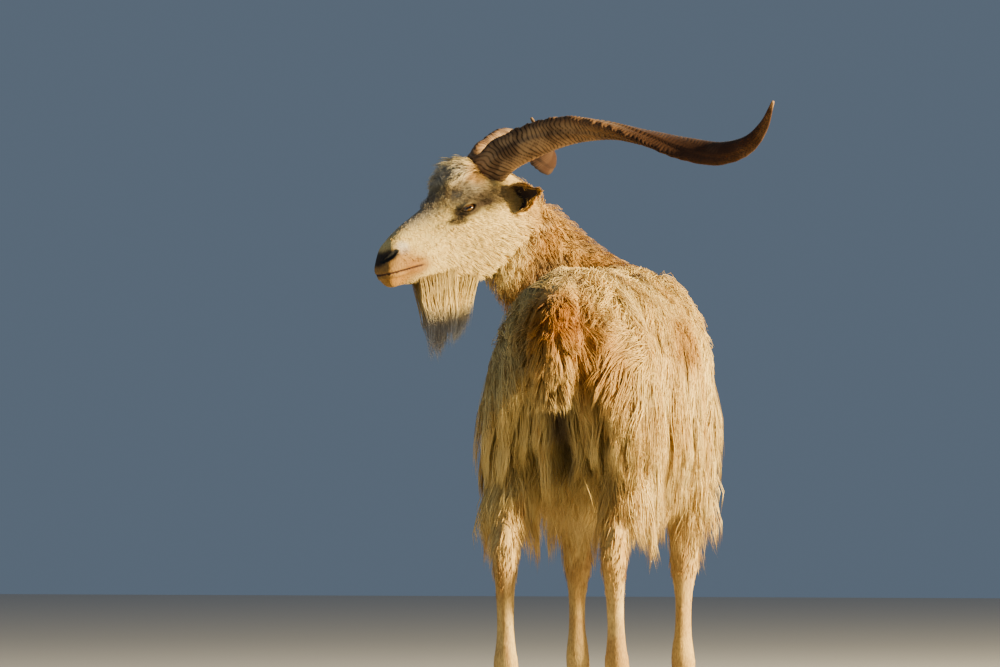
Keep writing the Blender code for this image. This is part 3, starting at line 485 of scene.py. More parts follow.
def lidOpening(side, centre):
    # the almond between the lids: ovals along the eye's axis, wider outwards, flatter below
    outward, forward, upward = eyeAxes(side)
    angle = circle(40)
    bow = np.sin(angle) * np.where(np.sin(angle) > 0, 1.0, 0.8)
    rings = []
    for reach, wide, tall in eyes["opening"]:
        middle = centre + outward * reach
        rings.append(middle + forward * (wide * np.cos(angle))[:, None] + upward * (tall * bow)[:, None])
    return loft("lidOpening", rings)


def lidFolds(side, centre):
    # the crease over the upper lid and the bag under the lower one: arcs y = bow * (1 - s ** 2) + base on a ball
    # a little wider than the lids, their thickness * (1 - 0.6 s ** 2)
    outward, forward, upward = eyeAxes(side)
    across = np.linspace(-1, 1, 7)
    made = []
    for bow, base, reach, thick in eyes["folds"]:
        x, y = eyes["foldReach"] * across, bow * (1 - across**2) + base
        z = np.sqrt(np.maximum(reach**2 - x**2 - y**2, 1e-6))
        arc = centre + forward * x[:, None] + upward * y[:, None] + outward * z[:, None]
        made.append(rope("fold", arc, thick * (1 - 0.6 * across**2), 12))
    return made


def earRings(side):
    # a pointed cup that curls round its axis: a ring runs over its back and returns along its hollow. Its width
    # goes by 0.42 + 0.58 sin(pi (1.15 t + 0.05)) ** 0.8 and closes in an ellipse from t = 0.6 to the tip
    t = np.linspace(0, 1, ears["rings"])[:, None]
    width = ears["width"] / 2 * (0.42 + 0.58 * np.sin(np.pi * np.minimum(1.0, t * 1.15 + 0.05)) ** 0.8)
    taper = np.sqrt(np.maximum(0.0, 1 - ((t - 0.6) / 0.42) ** 2)) * 0.96 + 0.04
    width = np.where(t > 0.6, width * taper, width)
    cup = width * (1.05 - 0.45 * t)
    wall = ears["wall"][0] - ears["wall"][1] * t
    hollow = ramp(t - 0.12, 0.25)
    back = np.pi * (np.linspace(0, 1, ears["half"]) - 0.5) * ears["round"]
    front = back[::-1]
    deep = (cup - wall) * np.cos(front) * hollow - (1 - hollow) * cup * 0.35 * np.cos(front)
    wide = np.concatenate([width * np.sin(back), (width - wall) * np.sin(front)], axis=1)
    depth = np.concatenate([cup * np.cos(back), deep], axis=1)
    centre = np.array(ears["root"]) + earAxis * (ears["length"] * t - ears["sunk"])
    centre = centre - earOpens * (ears["droop"] * t**2)
    rings = centre[:, None] + np.cross(earAxis, earOpens) * wide[..., None] - earOpens * depth[..., None]
    return inHead(rings * [1, side, 1])


def mouthPath(tree, around, lift, sunk):
    # places on the head round the mouth's line, lifted off it and sunk in
    points = []
    for angle, up in around:
        aim = np.array([math.cos(angle), math.sin(angle), 0]) @ headTurn
        spot, normal = shoot(tree, inHead((head["mouthAxis"], 0, up + lift)), aim)
        points.append(spot - normal * sunk)
    return points


def makeHead():
    # the skull's loft with lids, folds and lips added, the openings cut out, and the ears joined on
    made = loft("skin", headForm(180, 120, head["inset"])["rings"])
    tree = surfaceTree(made)
    adds, cuts = [], []
    for side in (1, -1):
        mirror = np.array([1, side, 1])
        centre = inHead(eyes["place"] * mirror)
        adds.append(loft("lids", ballRings(eyes["radius"] + eyes["lid"], 30, 40) + centre))
        cuts.append(loft("socket", ballRings(eyes["radius"] + eyes["socketGap"], 30, 40) + centre))
        cuts.append(lidOpening(side, centre))
        adds += lidFolds(side, centre)
        cuts.append(rope("tearLine", inHead(np.array(head["tear"]) * mirror), head["tearRadii"], 12))
        nostril = np.array(head["nostril"])
        cuts.append(rope("nostril", inHead(nostril[:, :3] * mirror), nostril[:, 3], 16))
    around = [(math.atan2(l, f - head["mouthAxis"]), u) for f, l, u in head["mouth"]]
    around = around + [(0.0, head["mouthFront"][2])] + [(-angle, u) for angle, u in around[::-1]]
    corner, between = head["lipRadii"]
    radii = [corner] + [between] * (len(around) - 2) + [corner]
    for lift in head["lips"]:
        adds.append(rope("lip", mouthPath(tree, around, lift, head["lipSunk"]), radii, 12, count=60))
    corner, between = head["mouthRadii"]
    radii = [corner] + [between] * (len(around) - 2) + [corner]
    cuts.append(rope("mouthLine", mouthPath(tree, around, 0, 0.0), radii, 12, head["mouthSquash"], 60))
    combine(made, adds, "UNION")
    combine(made, cuts, "DIFFERENCE")
    combine(made, [loft("ear", earRings(side)) for side in (1, -1)], "UNION")
    remesh(made, head["voxel"] * (1.0), 3, 0.4)
    fewer = made.modifiers.new("fewer", "DECIMATE")
    fewer.ratio = head["kept"]
    return applied(made)


trunk = trunkForm(flesh["inset"]["trunk"])
neck = bodyTube(flesh["neck"], flesh["inset"]["neck"], 50, 40)
tail = bodyTube(flesh["tail"], flesh["inset"]["tail"], 30, 24)
legs = {name: legForms(name) for name in flesh["steps"]}
skin = makeHead()
print("head:", len(skin.data.polygons), "faces")
body = loft("body", trunk["rings"])
parts = [loft("part", form["rings"]) for form in (neck, tail)]
parts += [loft("part", form["rings"]) for pair in legs.values() for form in pair]
join(body, parts)
remesh(body, flesh["voxel"] * (1.0), 6)
print("body:", len(body.data.polygons), "faces")
combine(skin, [body], "UNION")
print("skin:", len(skin.data.polygons), "faces")


def makeEye(side):
    # a ball whose poles lie on the eye's axis, with a low cornea: bulge * (1 - (off the axis / iris) ** 2)
    outward, forward, upward = eyeAxes(side)
    unitBall = ballRings(1.0, 60, 64)
    wide = np.hypot(unitBall[..., 0], unitBall[..., 1])
    bulge = eyes["bulge"] * np.clip(1 - (wide / eyes["iris"]) ** 2, 0, 1) * (unitBall[..., 2] > 0)
    rings = unitBall * (eyes["radius"] - eyes["ballGap"] + bulge)[..., None] @ np.stack([forward, upward, outward])
    made = loft("eyeLeft" if side > 0 else "eyeRight", rings + inHead(np.array(eyes["place"]) * [1, side, 1]))
    for k, name, poles in ((0, "eyeAlong", [0, 0]), (1, "eyeUp", [0, 0]), (2, "eyeOut", [-1, 1])):
        setPointValues(made, name, np.concatenate([unitBall[..., k].ravel(), poles]))
    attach(made, "root")
    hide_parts("eye_left" if side > 0 else "eye_right")
    return made


horns = {
    "roots": (0.302, -0.385, 0.962),
    "stations": [  # forward, left and up from between the roots, half breadth, half thickness, roll in degrees
        (0.020, 0.020, -0.040, 0.033, 0.021, 5.0), (-0.004, 0.034, -0.004, 0.032, 0.021, 8.0),
        (-0.052, 0.074, 0.030, 0.031, 0.020, 20.0), (-0.103, 0.122, 0.049, 0.029, 0.018, 42.0),
        (-0.154, 0.176, 0.047, 0.027, 0.015, 75.0), (-0.200, 0.232, 0.032, 0.025, 0.0125, 108.0),
        (-0.246, 0.289, 0.013, 0.024, 0.011, 140.0), (-0.287, 0.345, 0.004, 0.021, 0.0095, 165.0),
        (-0.312, 0.399, 0.018, 0.016, 0.008, 185.0), (-0.319, 0.445, 0.048, 0.010, 0.006, 200.0),
        (-0.316, 0.488, 0.090, 0.0025, 0.0025, 210.0),
    ],
    "settle": (0.0, 0.004, 0.014, 0.014, 0.005, 0.0, 0.0, 0.0, 0.0, 0.0, 0.0),  # how much lower the right horn lies
    "rings": 620,
    "sides": 48,
    "ridges": 88,
    "ridge": 0.0014,
    "knurl": 0.0012,
    "ridgedTo": 0.72,  # of the length
}


def makeHorn(side):
    # oval rings along the path, turned by their roll. The ridges swell by ridge * (|cos phase| ** 0.7 - 0.5), the
    # phase bent round the horn by sines, and knurls rise on the keel by knurl * cos(a) ** 3 * a sine of the share
    count, sides = horns["rings"], horns["sides"]
    stations = np.array(horns["stations"])
    stations[:, 2] -= np.array(horns["settle"]) * (side < 0)
    rows = smoothRows(stations, count)
    share = np.linspace(0, 1, count)[:, None]
    angle = circle(sides)
    along = unit(np.gradient(rows[:, :3], axis=0))
    broad = unit([0, 0, 1.0] - along * along[:, 2:3])
    flat = np.cross(along, broad)
    roll = np.radians(rows[:, 5])[:, None]
    fade = np.clip((horns["ridgedTo"] - share) / 0.2, 0.30, 1) * ramp(0.98 - share, 0.2)
    bend = 0.016 * np.cos(angle) + 0.0055 * np.cos(3 * angle + 14 * share) + 0.0022 * np.sin(7 * angle - 40 * share)
    phase = horns["ridges"] * np.pi * (share + bend + 0.004 * np.sin(57 * share))
    groove = np.abs(np.cos(phase)) ** 0.7
    ridge = horns["ridge"] * fade * (groove - 0.5)
    ridge = ridge * (0.55 + 0.45 * np.abs(np.cos(angle)))
    keel = np.clip(np.cos(angle), 0, 1) ** 3
    knurl = horns["knurl"] * fade * keel * np.sin(150 * share + 2 * np.sin(31 * share))
    edge = np.where(np.cos(angle) > 0.3, 0.80, 1.0) + 0 * share
    reach = (rows[:, 3:4] + ridge + knurl) * np.cos(angle)
    depth = (rows[:, 4:5] + ridge) * np.sin(angle) * edge
    spot = broad[:, None] * (reach * np.cos(roll) - depth * np.sin(roll))[..., None]
    spot = spot + flat[:, None] * (reach * np.sin(roll) + depth * np.cos(roll))[..., None] + rows[:, None, :3]
    heading = np.array([turnSine, -turnCosine, 0])
    left = np.cross([0, 0, 1.0], heading)
    rings = np.array(horns["roots"]) + shift + heading * spot[..., :1] + left * (side * spot[..., 1:2])
    rings[..., 2] += spot[..., 2]
    made = loft("hornLeft" if side > 0 else "hornRight", rings)
    for name, grid in (("share", share), ("groove", groove), ("keel", np.cos(angle))):
        setPointValues(made, name, np.concatenate([np.broadcast_to(grid, (count, sides)).ravel(), [0, 1]]))
    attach(made, "root")
    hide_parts("horn_left" if side > 0 else "horn_right")
    return made


def makeEarShadeSheet(side):
    # the inside half of the ear's rings, as a thin dark shell laid just over it: painted shade in the ear's hollow
    half = ears["half"]
    hollow = earRings(side)[6:-1, half + 2 : 2 * half - 2]
    raised = unit(np.cross(np.gradient(hollow, axis=0), np.gradient(hollow, axis=1)))
    opens = unit(np.array(ears["opens"]) * [1, side, 1]) @ headTurn
    raised = raised * np.sign(dot(raised, opens))[..., None]
    over, under = ears["shadeSheet"]
    shell = np.concatenate([hollow + raised * over, (hollow + raised * under)[:, ::-1]], axis=1)
    made = loft("earShadeSheetLeft" if side > 0 else "earShadeSheetRight", shell)
    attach(made, "root")
    return made


hooves = {
    "stations": [  # ahead and up from the toe's middle, half width, half length
        (0.000, 0.000, 0.0125, 0.030), (-0.001, 0.012, 0.0130, 0.028), (-0.004, 0.026, 0.0125, 0.025),
        (-0.008, 0.040, 0.0115, 0.021), (-0.010, 0.050, 0.0085, 0.014),
    ],
    "apart": 0.0138,
    "splay": 0.05,  # how much closer the claws come per metre up
    "narrow": 0.35,  # towards the toe
    "flat": 0.72,  # on the side of the cleft
    "ahead": 0.018,
}


def makeHooves(leg):
    # two claws of ovals that narrow towards the toe, flatter on the side of the cleft
    side, stations = ofLeg(leg)
    toeAhead, toeLeft = stations[-1][0] + flesh["steps"][leg], stations[-1][1]
    claws = []
    rows = smoothRows([(a, 0, u, w, l) for a, u, w, l in hooves["stations"]], 24)
    angle = circle(36)
    point = np.cos(angle)
    for inner in (1, -1):
        sideways = rows[:, 3:4] * np.sin(angle) * (1 - hooves["narrow"] * np.maximum(0, point) ** 2)
        sideways = np.where(sideways * inner < 0, sideways * hooves["flat"], sideways)
        ahead = toeAhead + hooves["ahead"] + rows[:, :1] + rows[:, 4:5] * point
        left = side * toeLeft + inner * (hooves["apart"] - hooves["splay"] * rows[:, 2:3]) + sideways
        up = np.broadcast_to(rows[:, 2:3], left.shape)
        claws.append(loft("claw", place(np.stack([ahead, left, up], -1))))
    made = join(claws[0], claws[1:])
    made.name = leg + "Hoof"
    name = leg.replace("Left", "_leg_left").replace("Right", "_leg_right")
    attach(made, "root")
    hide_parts(f"{name}_claw_outer", f"{name}_claw_inner")
    return made


eyeBalls = [makeEye(side) for side in (1, -1)]
hornPair = [makeHorn(side) for side in (1, -1)]
feet = [makeHooves(leg) for leg in flesh["steps"]]
earShadeSheets = [makeEarShadeSheet(side) for side in (1, -1)]
print("eyes, horns and hooves made")

# what the hair is measured from
forms = {"trunk": trunk, "neck": neck, "tail": tail, "skull": headForm(40, 32, head["inset"])}
for legName, (lower, upper) in legs.items():
    forms[legName] = lower
    forms[legName + "Top"] = upper
formNames = list(forms)
spine = float(place((0, 0, 0))[0])


def measure(form, points):
    # nearest ring of the form, the offsets a and b in it, rho = hypot(a / wide, b / tall), which is 1 on its
    # surface, and the offset along it
    centre = form["centre"]
    gap = (points**2).sum(-1)[:, None] - 2 * points @ centre.T + (centre**2).sum(-1)
    ring = gap.argmin(axis=1)
    off = points - centre[ring]
    a, b = dot(off, form["across"][ring]), dot(off, form["deep"][ring])
    return ring, a, b, np.hypot(a / form["wide"][ring], b / form["tall"][ring]), dot(off, form["along"][ring])


def keepOut(points, clear, names, cling=0.0, least=1.0):
    # pushes points out of every form across its ring until rho = 1 + clear / its lesser half width, or least on
    # the first form, and draws those just over the first form's upper side back to it by the share cling
    for name in names:
        form = forms[name]
        ring, a, b, rho, past = measure(form, points)
        target = 1 + clear / np.minimum(form["wide"][ring], form["tall"][ring])
        if name == names[0]:
            target = np.maximum(target, least)
        inside = (rho < target) & (np.abs(past) < 0.03)
        push = np.where(inside, target / np.maximum(rho, 0.05) - 1, 0)[:, None]
        if name == names[0]:
            facing = b / form["tall"][ring] / np.maximum(rho, 0.05)
            over = ~inside & (rho < target + 0.5) & (facing > -0.25) & (np.abs(past) < 0.03)
            push = push + np.where(over, (target / np.maximum(rho, 0.05) - 1) * cling, 0)[:, None]
        points = points + push * (form["across"][ring] * a[:, None] + form["deep"][ring] * b[:, None])
    return points


def readSkin(made):
    # the skin's corners, triangles and outward directions as arrays
    mesh = made.data
    mesh.calc_loop_triangles()
    corners = np.zeros(len(mesh.vertices) * 3)
    mesh.vertices.foreach_get("co", corners)
    outward = np.zeros(len(mesh.vertices) * 3)
    mesh.vertices.foreach_get("normal", outward)
    triangles = np.zeros(len(mesh.loop_triangles) * 3, np.int32)
    mesh.loop_triangles.foreach_get("vertices", triangles)
    return corners.reshape(-1, 3), triangles.reshape(-1, 3), outward.reshape(-1, 3)


skinPoints, skinTriangles, skinOutward = readSkin(skin)
triangleCorners = skinPoints[skinTriangles]
skinCentres = triangleCorners.mean(axis=1)
skinHeights = skinCentres[:, 2]
edges = triangleCorners[:, 1:] - triangleCorners[:, :1]
skinAreas = np.linalg.norm(np.cross(edges[:, 0], edges[:, 1]), axis=1) / 2


def howFar(form):
    # about how far the skin's triangles lie off the form's surface: |rho - 1| * its lesser half width, and
    # twice what they lie past its ends
    ring, _, _, rho, past = measure(form, skinCentres)
    lesser = np.minimum(form["wide"][ring], form["tall"][ring])
    return np.abs(rho - 1) * lesser + 2 * np.maximum(0, np.abs(past) - 0.02)


skinForm = np.stack([howFar(forms[name]) for name in formNames]).argmin(axis=0)
for name in ("tail", "neck"):  # what lies well off these forms belongs to the trunk
    far = (skinForm == formNames.index(name)) & (measure(forms[name], skinCentres)[3] > 1.35)
    skinForm[far] = formNames.index("trunk")
isForm = {name: skinForm == index for index, name in enumerate(formNames)}

# parts of the head, each triangle's place in it forward, left and up
headPlace = fromHead(skinCentres)
headAhead, headLeft, headUp = headPlace.T
headOut = np.abs(headLeft)
onHead = isForm["skull"] & (headAhead > -0.03)
earShare = np.array([
    dot(headPlace * [1, side, 1] - ears["root"], earAxis) / ears["length"] for side in (1, -1)
]).max(axis=0)
earOff = headOut - (0.055 + 0.02 * ramp(0.02 - headAhead, 0.05))
onEar = (earOff > 0.008) & (earShare > 0.12) & (earShare < 1.2) & (headAhead < 0.06) & (headUp > 0.0)
onEar &= headUp < 0.085
facing = skinOutward[skinTriangles].mean(axis=1) @ headTurn.T
facing[:, 1] *= np.sign(headLeft)
inCup = onEar & (dot(facing, earOpens) > 0.12) & (earShare > 0.2)
chin = (headAhead > 0.150) & (headAhead < 0.223) & (headUp < -0.052) & onHead
chin |= (headAhead > 0.108) & (headAhead <= 0.150) & (headUp < -0.068) & onHead
crown = onHead & (headAhead > 0.066) & (headAhead < 0.180) & (headOut < 0.036) & (headUp > 0.055)
hornGap = np.hypot(headAhead - 0.052, headOut - 0.026)
eyeGap = np.linalg.norm((headPlace * [1, 1, 1.5] - [0.1125, 0, 0.063]) * [1, 0, 1], axis=1)
noseEnd = (headAhead > 0.262) | ((headAhead > 0.20) & (np.abs(headUp + 0.033) < 0.010))
faceHair = onHead & ~onEar & ~noseEnd & (eyeGap > 0.021) & (hornGap > 0.02)

# parts of the body
bodyForms = ["trunk", *(leg + "Top" for leg in flesh["steps"]), *flesh["steps"]]
kneeHeight = 0.42
hemHeight = 0.40
isLeg = np.any([isForm[leg] for leg in flesh["steps"]], axis=0)
isTrunk = np.any([isForm[name] for name in bodyForms[:5]], axis=0) | (isLeg & (skinHeights > kneeHeight))
faceBack, faceUp = skinOutward[skinTriangles[:, 0]].T[1:]
middleBody = isTrunk & (faceBack <= 0.45) & (faceUp <= 0.62) & (skinHeights > hemHeight)
print("skin read:", len(skinTriangles), "triangles")


def takeRoots(weight, count):
    # evenly spaced draws from the triangles, by area and weight, each at a random place in its triangle
    share = np.cumsum(skinAreas * weight)
    picks = np.searchsorted(share, (np.arange(count) + rng.random(count)) / count * share[-1])
    picks = np.minimum(picks, len(skinAreas) - 1)
    r, q = np.sqrt(rng.random(count)), rng.random(count)
    mix = np.stack([1 - r, r * (1 - q), r * q], axis=1)[..., None]
    corners = skinTriangles[picks]
    return picks, (skinPoints[corners] * mix).sum(axis=1), unit((skinOutward[corners] * mix).sum(axis=1))


def bodyLie(points, normals):
    # out from the parting, then down, and a little backwards
    side = np.tanh((points[:, 0] - spine) / 0.02)
    high = ramp(normals[:, 2] - 0.2, 0.6)
    rear = ramp(normals[:, 1] - 0.2, 0.6)
    front = ramp(-normals[:, 1] - 0.2, 0.6)
    back = 0.25 + 0.5 * high - 0.25 * rear - 0.3 * front
    return np.stack([side * (0.15 + 0.9 * high), back, -1.0 + 0.3 * high], -1)


def formLie(name, turnDown, sign):
    # along the form's path, turned down by a share
    def lie(points, normals):
        ring = measure(forms[name], points)[0]
        return sign * forms[name]["along"][ring] + np.array([0, 0, -turnDown])
    return lie


def headLie(points, normals):
    # from the muzzle back over the face, and down on the cheeks
    spot = fromHead(points)
    back = np.stack([-np.ones(len(spot)), 0 * spot[:, 1], -0.35 - 0.5 * ramp(-spot[:, 2], 0.06)], -1)
    top = ramp(spot[:, 2] - 0.06, 0.03)[:, None]
    return (back * (1 - top) + np.array([-1.0, 0, 0.15]) * top) @ headTurn


def earLie(points, normals):
    # out along each ear
    mirror = np.ones_like(points)
    mirror[:, 1] = np.sign(fromHead(points)[:, 1])
    return (earAxis * mirror) @ headTurn


def marchTufts(look, roots, normals, length, depth, swing, lean):
    # the tufts' paths. Each sets out along the lie, swung sideways and lifted, goes on by steps that keepOut holds
    # off the flesh, and sinks by gravity. A root that lies over its form, by own - 1 of its half width, lets its
    # tuft come down to the form only bit by bit
    lie = unit(look["lie"](roots, normals))
    side = unit(np.cross(normals, lie))
    lie = unit(lie + side * swing[:, None])
    lie = lie - normals * dot(lie, normals)[:, None] * look["flat"]
    heading = unit(lie + normals * look["lift"] * lean)
    here = roots - normals * look["sink"]
    path = [here]
    own = measure(forms[look["clearOf"][0]], roots)[3] if look["clearOf"] else np.ones(len(roots))
    own = np.where(own < 1.7, np.maximum(own, 1.0), 1.0)
    cling = look["cling"] * ramp(1.60 - own, 0.25)
    steps = look["steps"]
    size = (length / steps)[:, None]
    for k in range(steps):
        t = (k + 1) / steps
        least = 1 + (own - 1) * (1 - 0.9 * t)
        there = keepOut(here + heading * size, depth * min(1.0, t * 1.8), look["clearOf"], cling, least)
        flow = unit(there - here)
        here = here + flow * size
        path.append(here)
        heading = unit(flow + np.array([0, 0, -look["gravity"]]))
    return np.stack(path, axis=1)


def tuftFaces(count, steps):
    # three-sided tubes, closed by a triangle at the root and by a point at the tip
    k, j = np.meshgrid(np.arange(steps - 1), np.arange(3), indexing="ij")
    n = (j + 1) % 3
    quads = np.stack([3 * k + n, 3 * k + j, 3 * k + 3 + j, 3 * k + 3 + n], -1).reshape(-1, 4)
    j, n = np.arange(3), (np.arange(3) + 1) % 3
    last = 3 * (steps - 1)
    triangles = np.concatenate([np.stack([last + n, last + j, np.full(3, 3 * steps)], -1), [[0, 1, 2]]])
    start = (np.arange(count) * (3 * steps + 1))[:, None, None]
    return [(quads + start).reshape(-1, 4), (triangles + start).reshape(-1, 3)]


def growTufts(name, look):
    # tufts drawn to their clump's leader by pinch * t ** 1.3 and waved by wave * sin(2 pi s / period + phase), with
    # s the length along them; half width = width / 2 * min(1, 0.55 + 1.8 t) * (1 - t ** taper) ** 0.8
    count = int(look["count"] * (1))
    steps = look["steps"]
    picks, roots, normals = takeRoots(look["where"], count)
    centres = rng.integers(0, count, max(2, count // look["perClump"]))
    if "leaders" in look:
        centres = ((roots[None] - inHead(look["leaders"])[:, None]) ** 2).sum(-1).argmin(axis=1)
    clump = ((roots[:, None] - roots[centres][None]) ** 2).sum(-1).argmin(axis=1)
    clumpDraw = rng.random((len(centres), 4))
    draw = rng.random((count, 4))
    scale = look["scale"](roots, normals)
    inClump, byItself = look["vary"] * (clumpDraw[clump, 0] - 0.5), look["each"] * (draw[:, 0] - 0.5)
    length = look["length"] * (1 + inClump + byItself) * scale
    swing = (clumpDraw[clump, 1] - 0.5) * look["stray"] + (draw[:, 1] - 0.5) * look["stray"] * 0.5
    depth = look["rise"] * (0.35 + 0.9 * clumpDraw[clump, 2] + 0.25 * draw[:, 3]) * np.minimum(scale, 1.0)
    path = marchTufts(look, roots, normals, length, depth, swing, 0.6 + 0.8 * draw[:, 2:3])
    t = np.linspace(0, 1, steps + 1)[None, :, None]
    leader = path[centres][clump]
    pinch = look["pinch"] * (0.55 + 0.7 * draw[:, 1])[:, None, None]
    path = path + (leader - path) * (np.minimum(pinch, 0.95) * t**1.3)
    along = unit(np.gradient(path, axis=1))
    away = normals[:, None] - along * dot(normals[:, None], along)[..., None]
    across = unit(np.cross(along, unit(away)))
    away = np.cross(across, along)
    phase = 2 * np.pi * (clumpDraw[clump, 3] + 0.10 * draw[:, 1])[:, None, None]
    turns = 2 * np.pi * t * (length / look["period"])[:, None, None]
    wave = look["wave"] * np.minimum(1, t * 2.2) * (0.6 + 0.8 * draw[:, 2])[:, None, None]
    path = path + across * wave * np.sin(turns + phase) + away * wave * 0.5 * (1 + np.cos(turns + phase)) * (t > 0)
    along = unit(np.gradient(path, axis=1))
    twist = (draw[:, 3] - 0.5)[:, None, None] * look["twist"] * (0.4 + t)
    across = unit(across * np.cos(twist) + away * np.sin(twist))
    across = unit(across - along * dot(across, along)[..., None])
    away = np.cross(across, along)
    width = look["width"] * (0.7 + 0.6 * draw[:, 0])[:, None, None] * np.sqrt(scale * np.ones(count))[:, None, None]
    taper = np.minimum(1, 0.55 + 1.8 * t) * (1 - t**look["taper"]) ** 0.8
    half = width / 2 * taper
    rings = np.stack([path - across * half, path + across * half, path + away * half * look["thick"]], axis=2)
    points = np.concatenate([rings[:, :-1].reshape(count, -1, 3), path[:, -1:]], axis=1)
    made = addMesh(name, points.reshape(-1, 3), tuftFaces(count, steps))
    share = np.concatenate([np.repeat(np.arange(steps) / steps, 3), [1.0]])
    setPointValues(made, "along", np.tile(share, count))
    setPointValues(made, "tone", np.repeat(0.6 * clumpDraw[clump, 0] + 0.4 * draw[:, 2], len(share)))
    bakeMap(made, picks, roots, share)
    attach(made, "root")
    print(f"{name}: {count} tufts, {count * (6 * steps - 2)} triangles")
    return made


def bakeMap(made, picks, roots, share):
    # each tuft is a small patch at its root's place: u along the root's form in that form's column, v round it
    size, count, used = 0.003, len(picks), skinForm[picks]
    u, v = np.zeros(count), np.zeros(count)
    for column, index in enumerate(np.unique(used)):
        here = used == index
        form = forms[formNames[index]]
        ring, a, b, _, _ = measure(form, roots[here])
        u[here] = (column + 0.04 + 0.92 * ring / (len(form["centre"]) - 1)) / len(np.unique(used))
        v[here] = 0.03 + 0.94 * (np.arctan2(b, a) / (2 * np.pi) + 0.5)
    corner = np.concatenate([np.tile([-0.5, 0.5, 0.0], (len(share) - 1) // 3), [0.0]])
    spots = np.stack([(u[:, None] + size * corner).ravel(), (v[:, None] + size * (share - 0.5)).ravel()], axis=1)
    loops = np.zeros(len(made.data.loops), np.int32)
    made.data.loops.foreach_get("vertex_index", loops)
    layer = made.data.uv_layers.new(name="OFBake")
    layer.data.foreach_set("uv", np.ascontiguousarray(spots[loops], np.float32).ravel())


def faceScale(p, n):
    # shortest on the muzzle and round the eyes, longest on the cheeks' back edge and under the jaw
    spot = fromHead(p)
    back, low = ramp(0.20 - spot[:, 0], 0.14), ramp(0.02 - spot[:, 2], 0.06)
    return 0.45 + 0.55 * back + 0.9 * back * low


def rumpScale(p, n):
    # short round the root of the tail and between the thighs
    gap = np.linalg.norm(p - place((-0.43, 0, 0.67)), axis=1)
    cleft = np.clip(1.4 - np.abs(p[:, 0] - spine) / 0.026, 0, 1) * ramp(0.63 - p[:, 2], 0.03) * (n[:, 1] > 0.4)
    return (0.42 + 0.58 * ramp(gap - 0.05, 0.10)) * (1 - 0.75 * cleft)


def beardScale(p, n):
    # longest under the chin, shortest back along the jaw
    return 1.0 - 0.55 * ramp(0.20 - fromHead(p)[:, 0], 0.09)


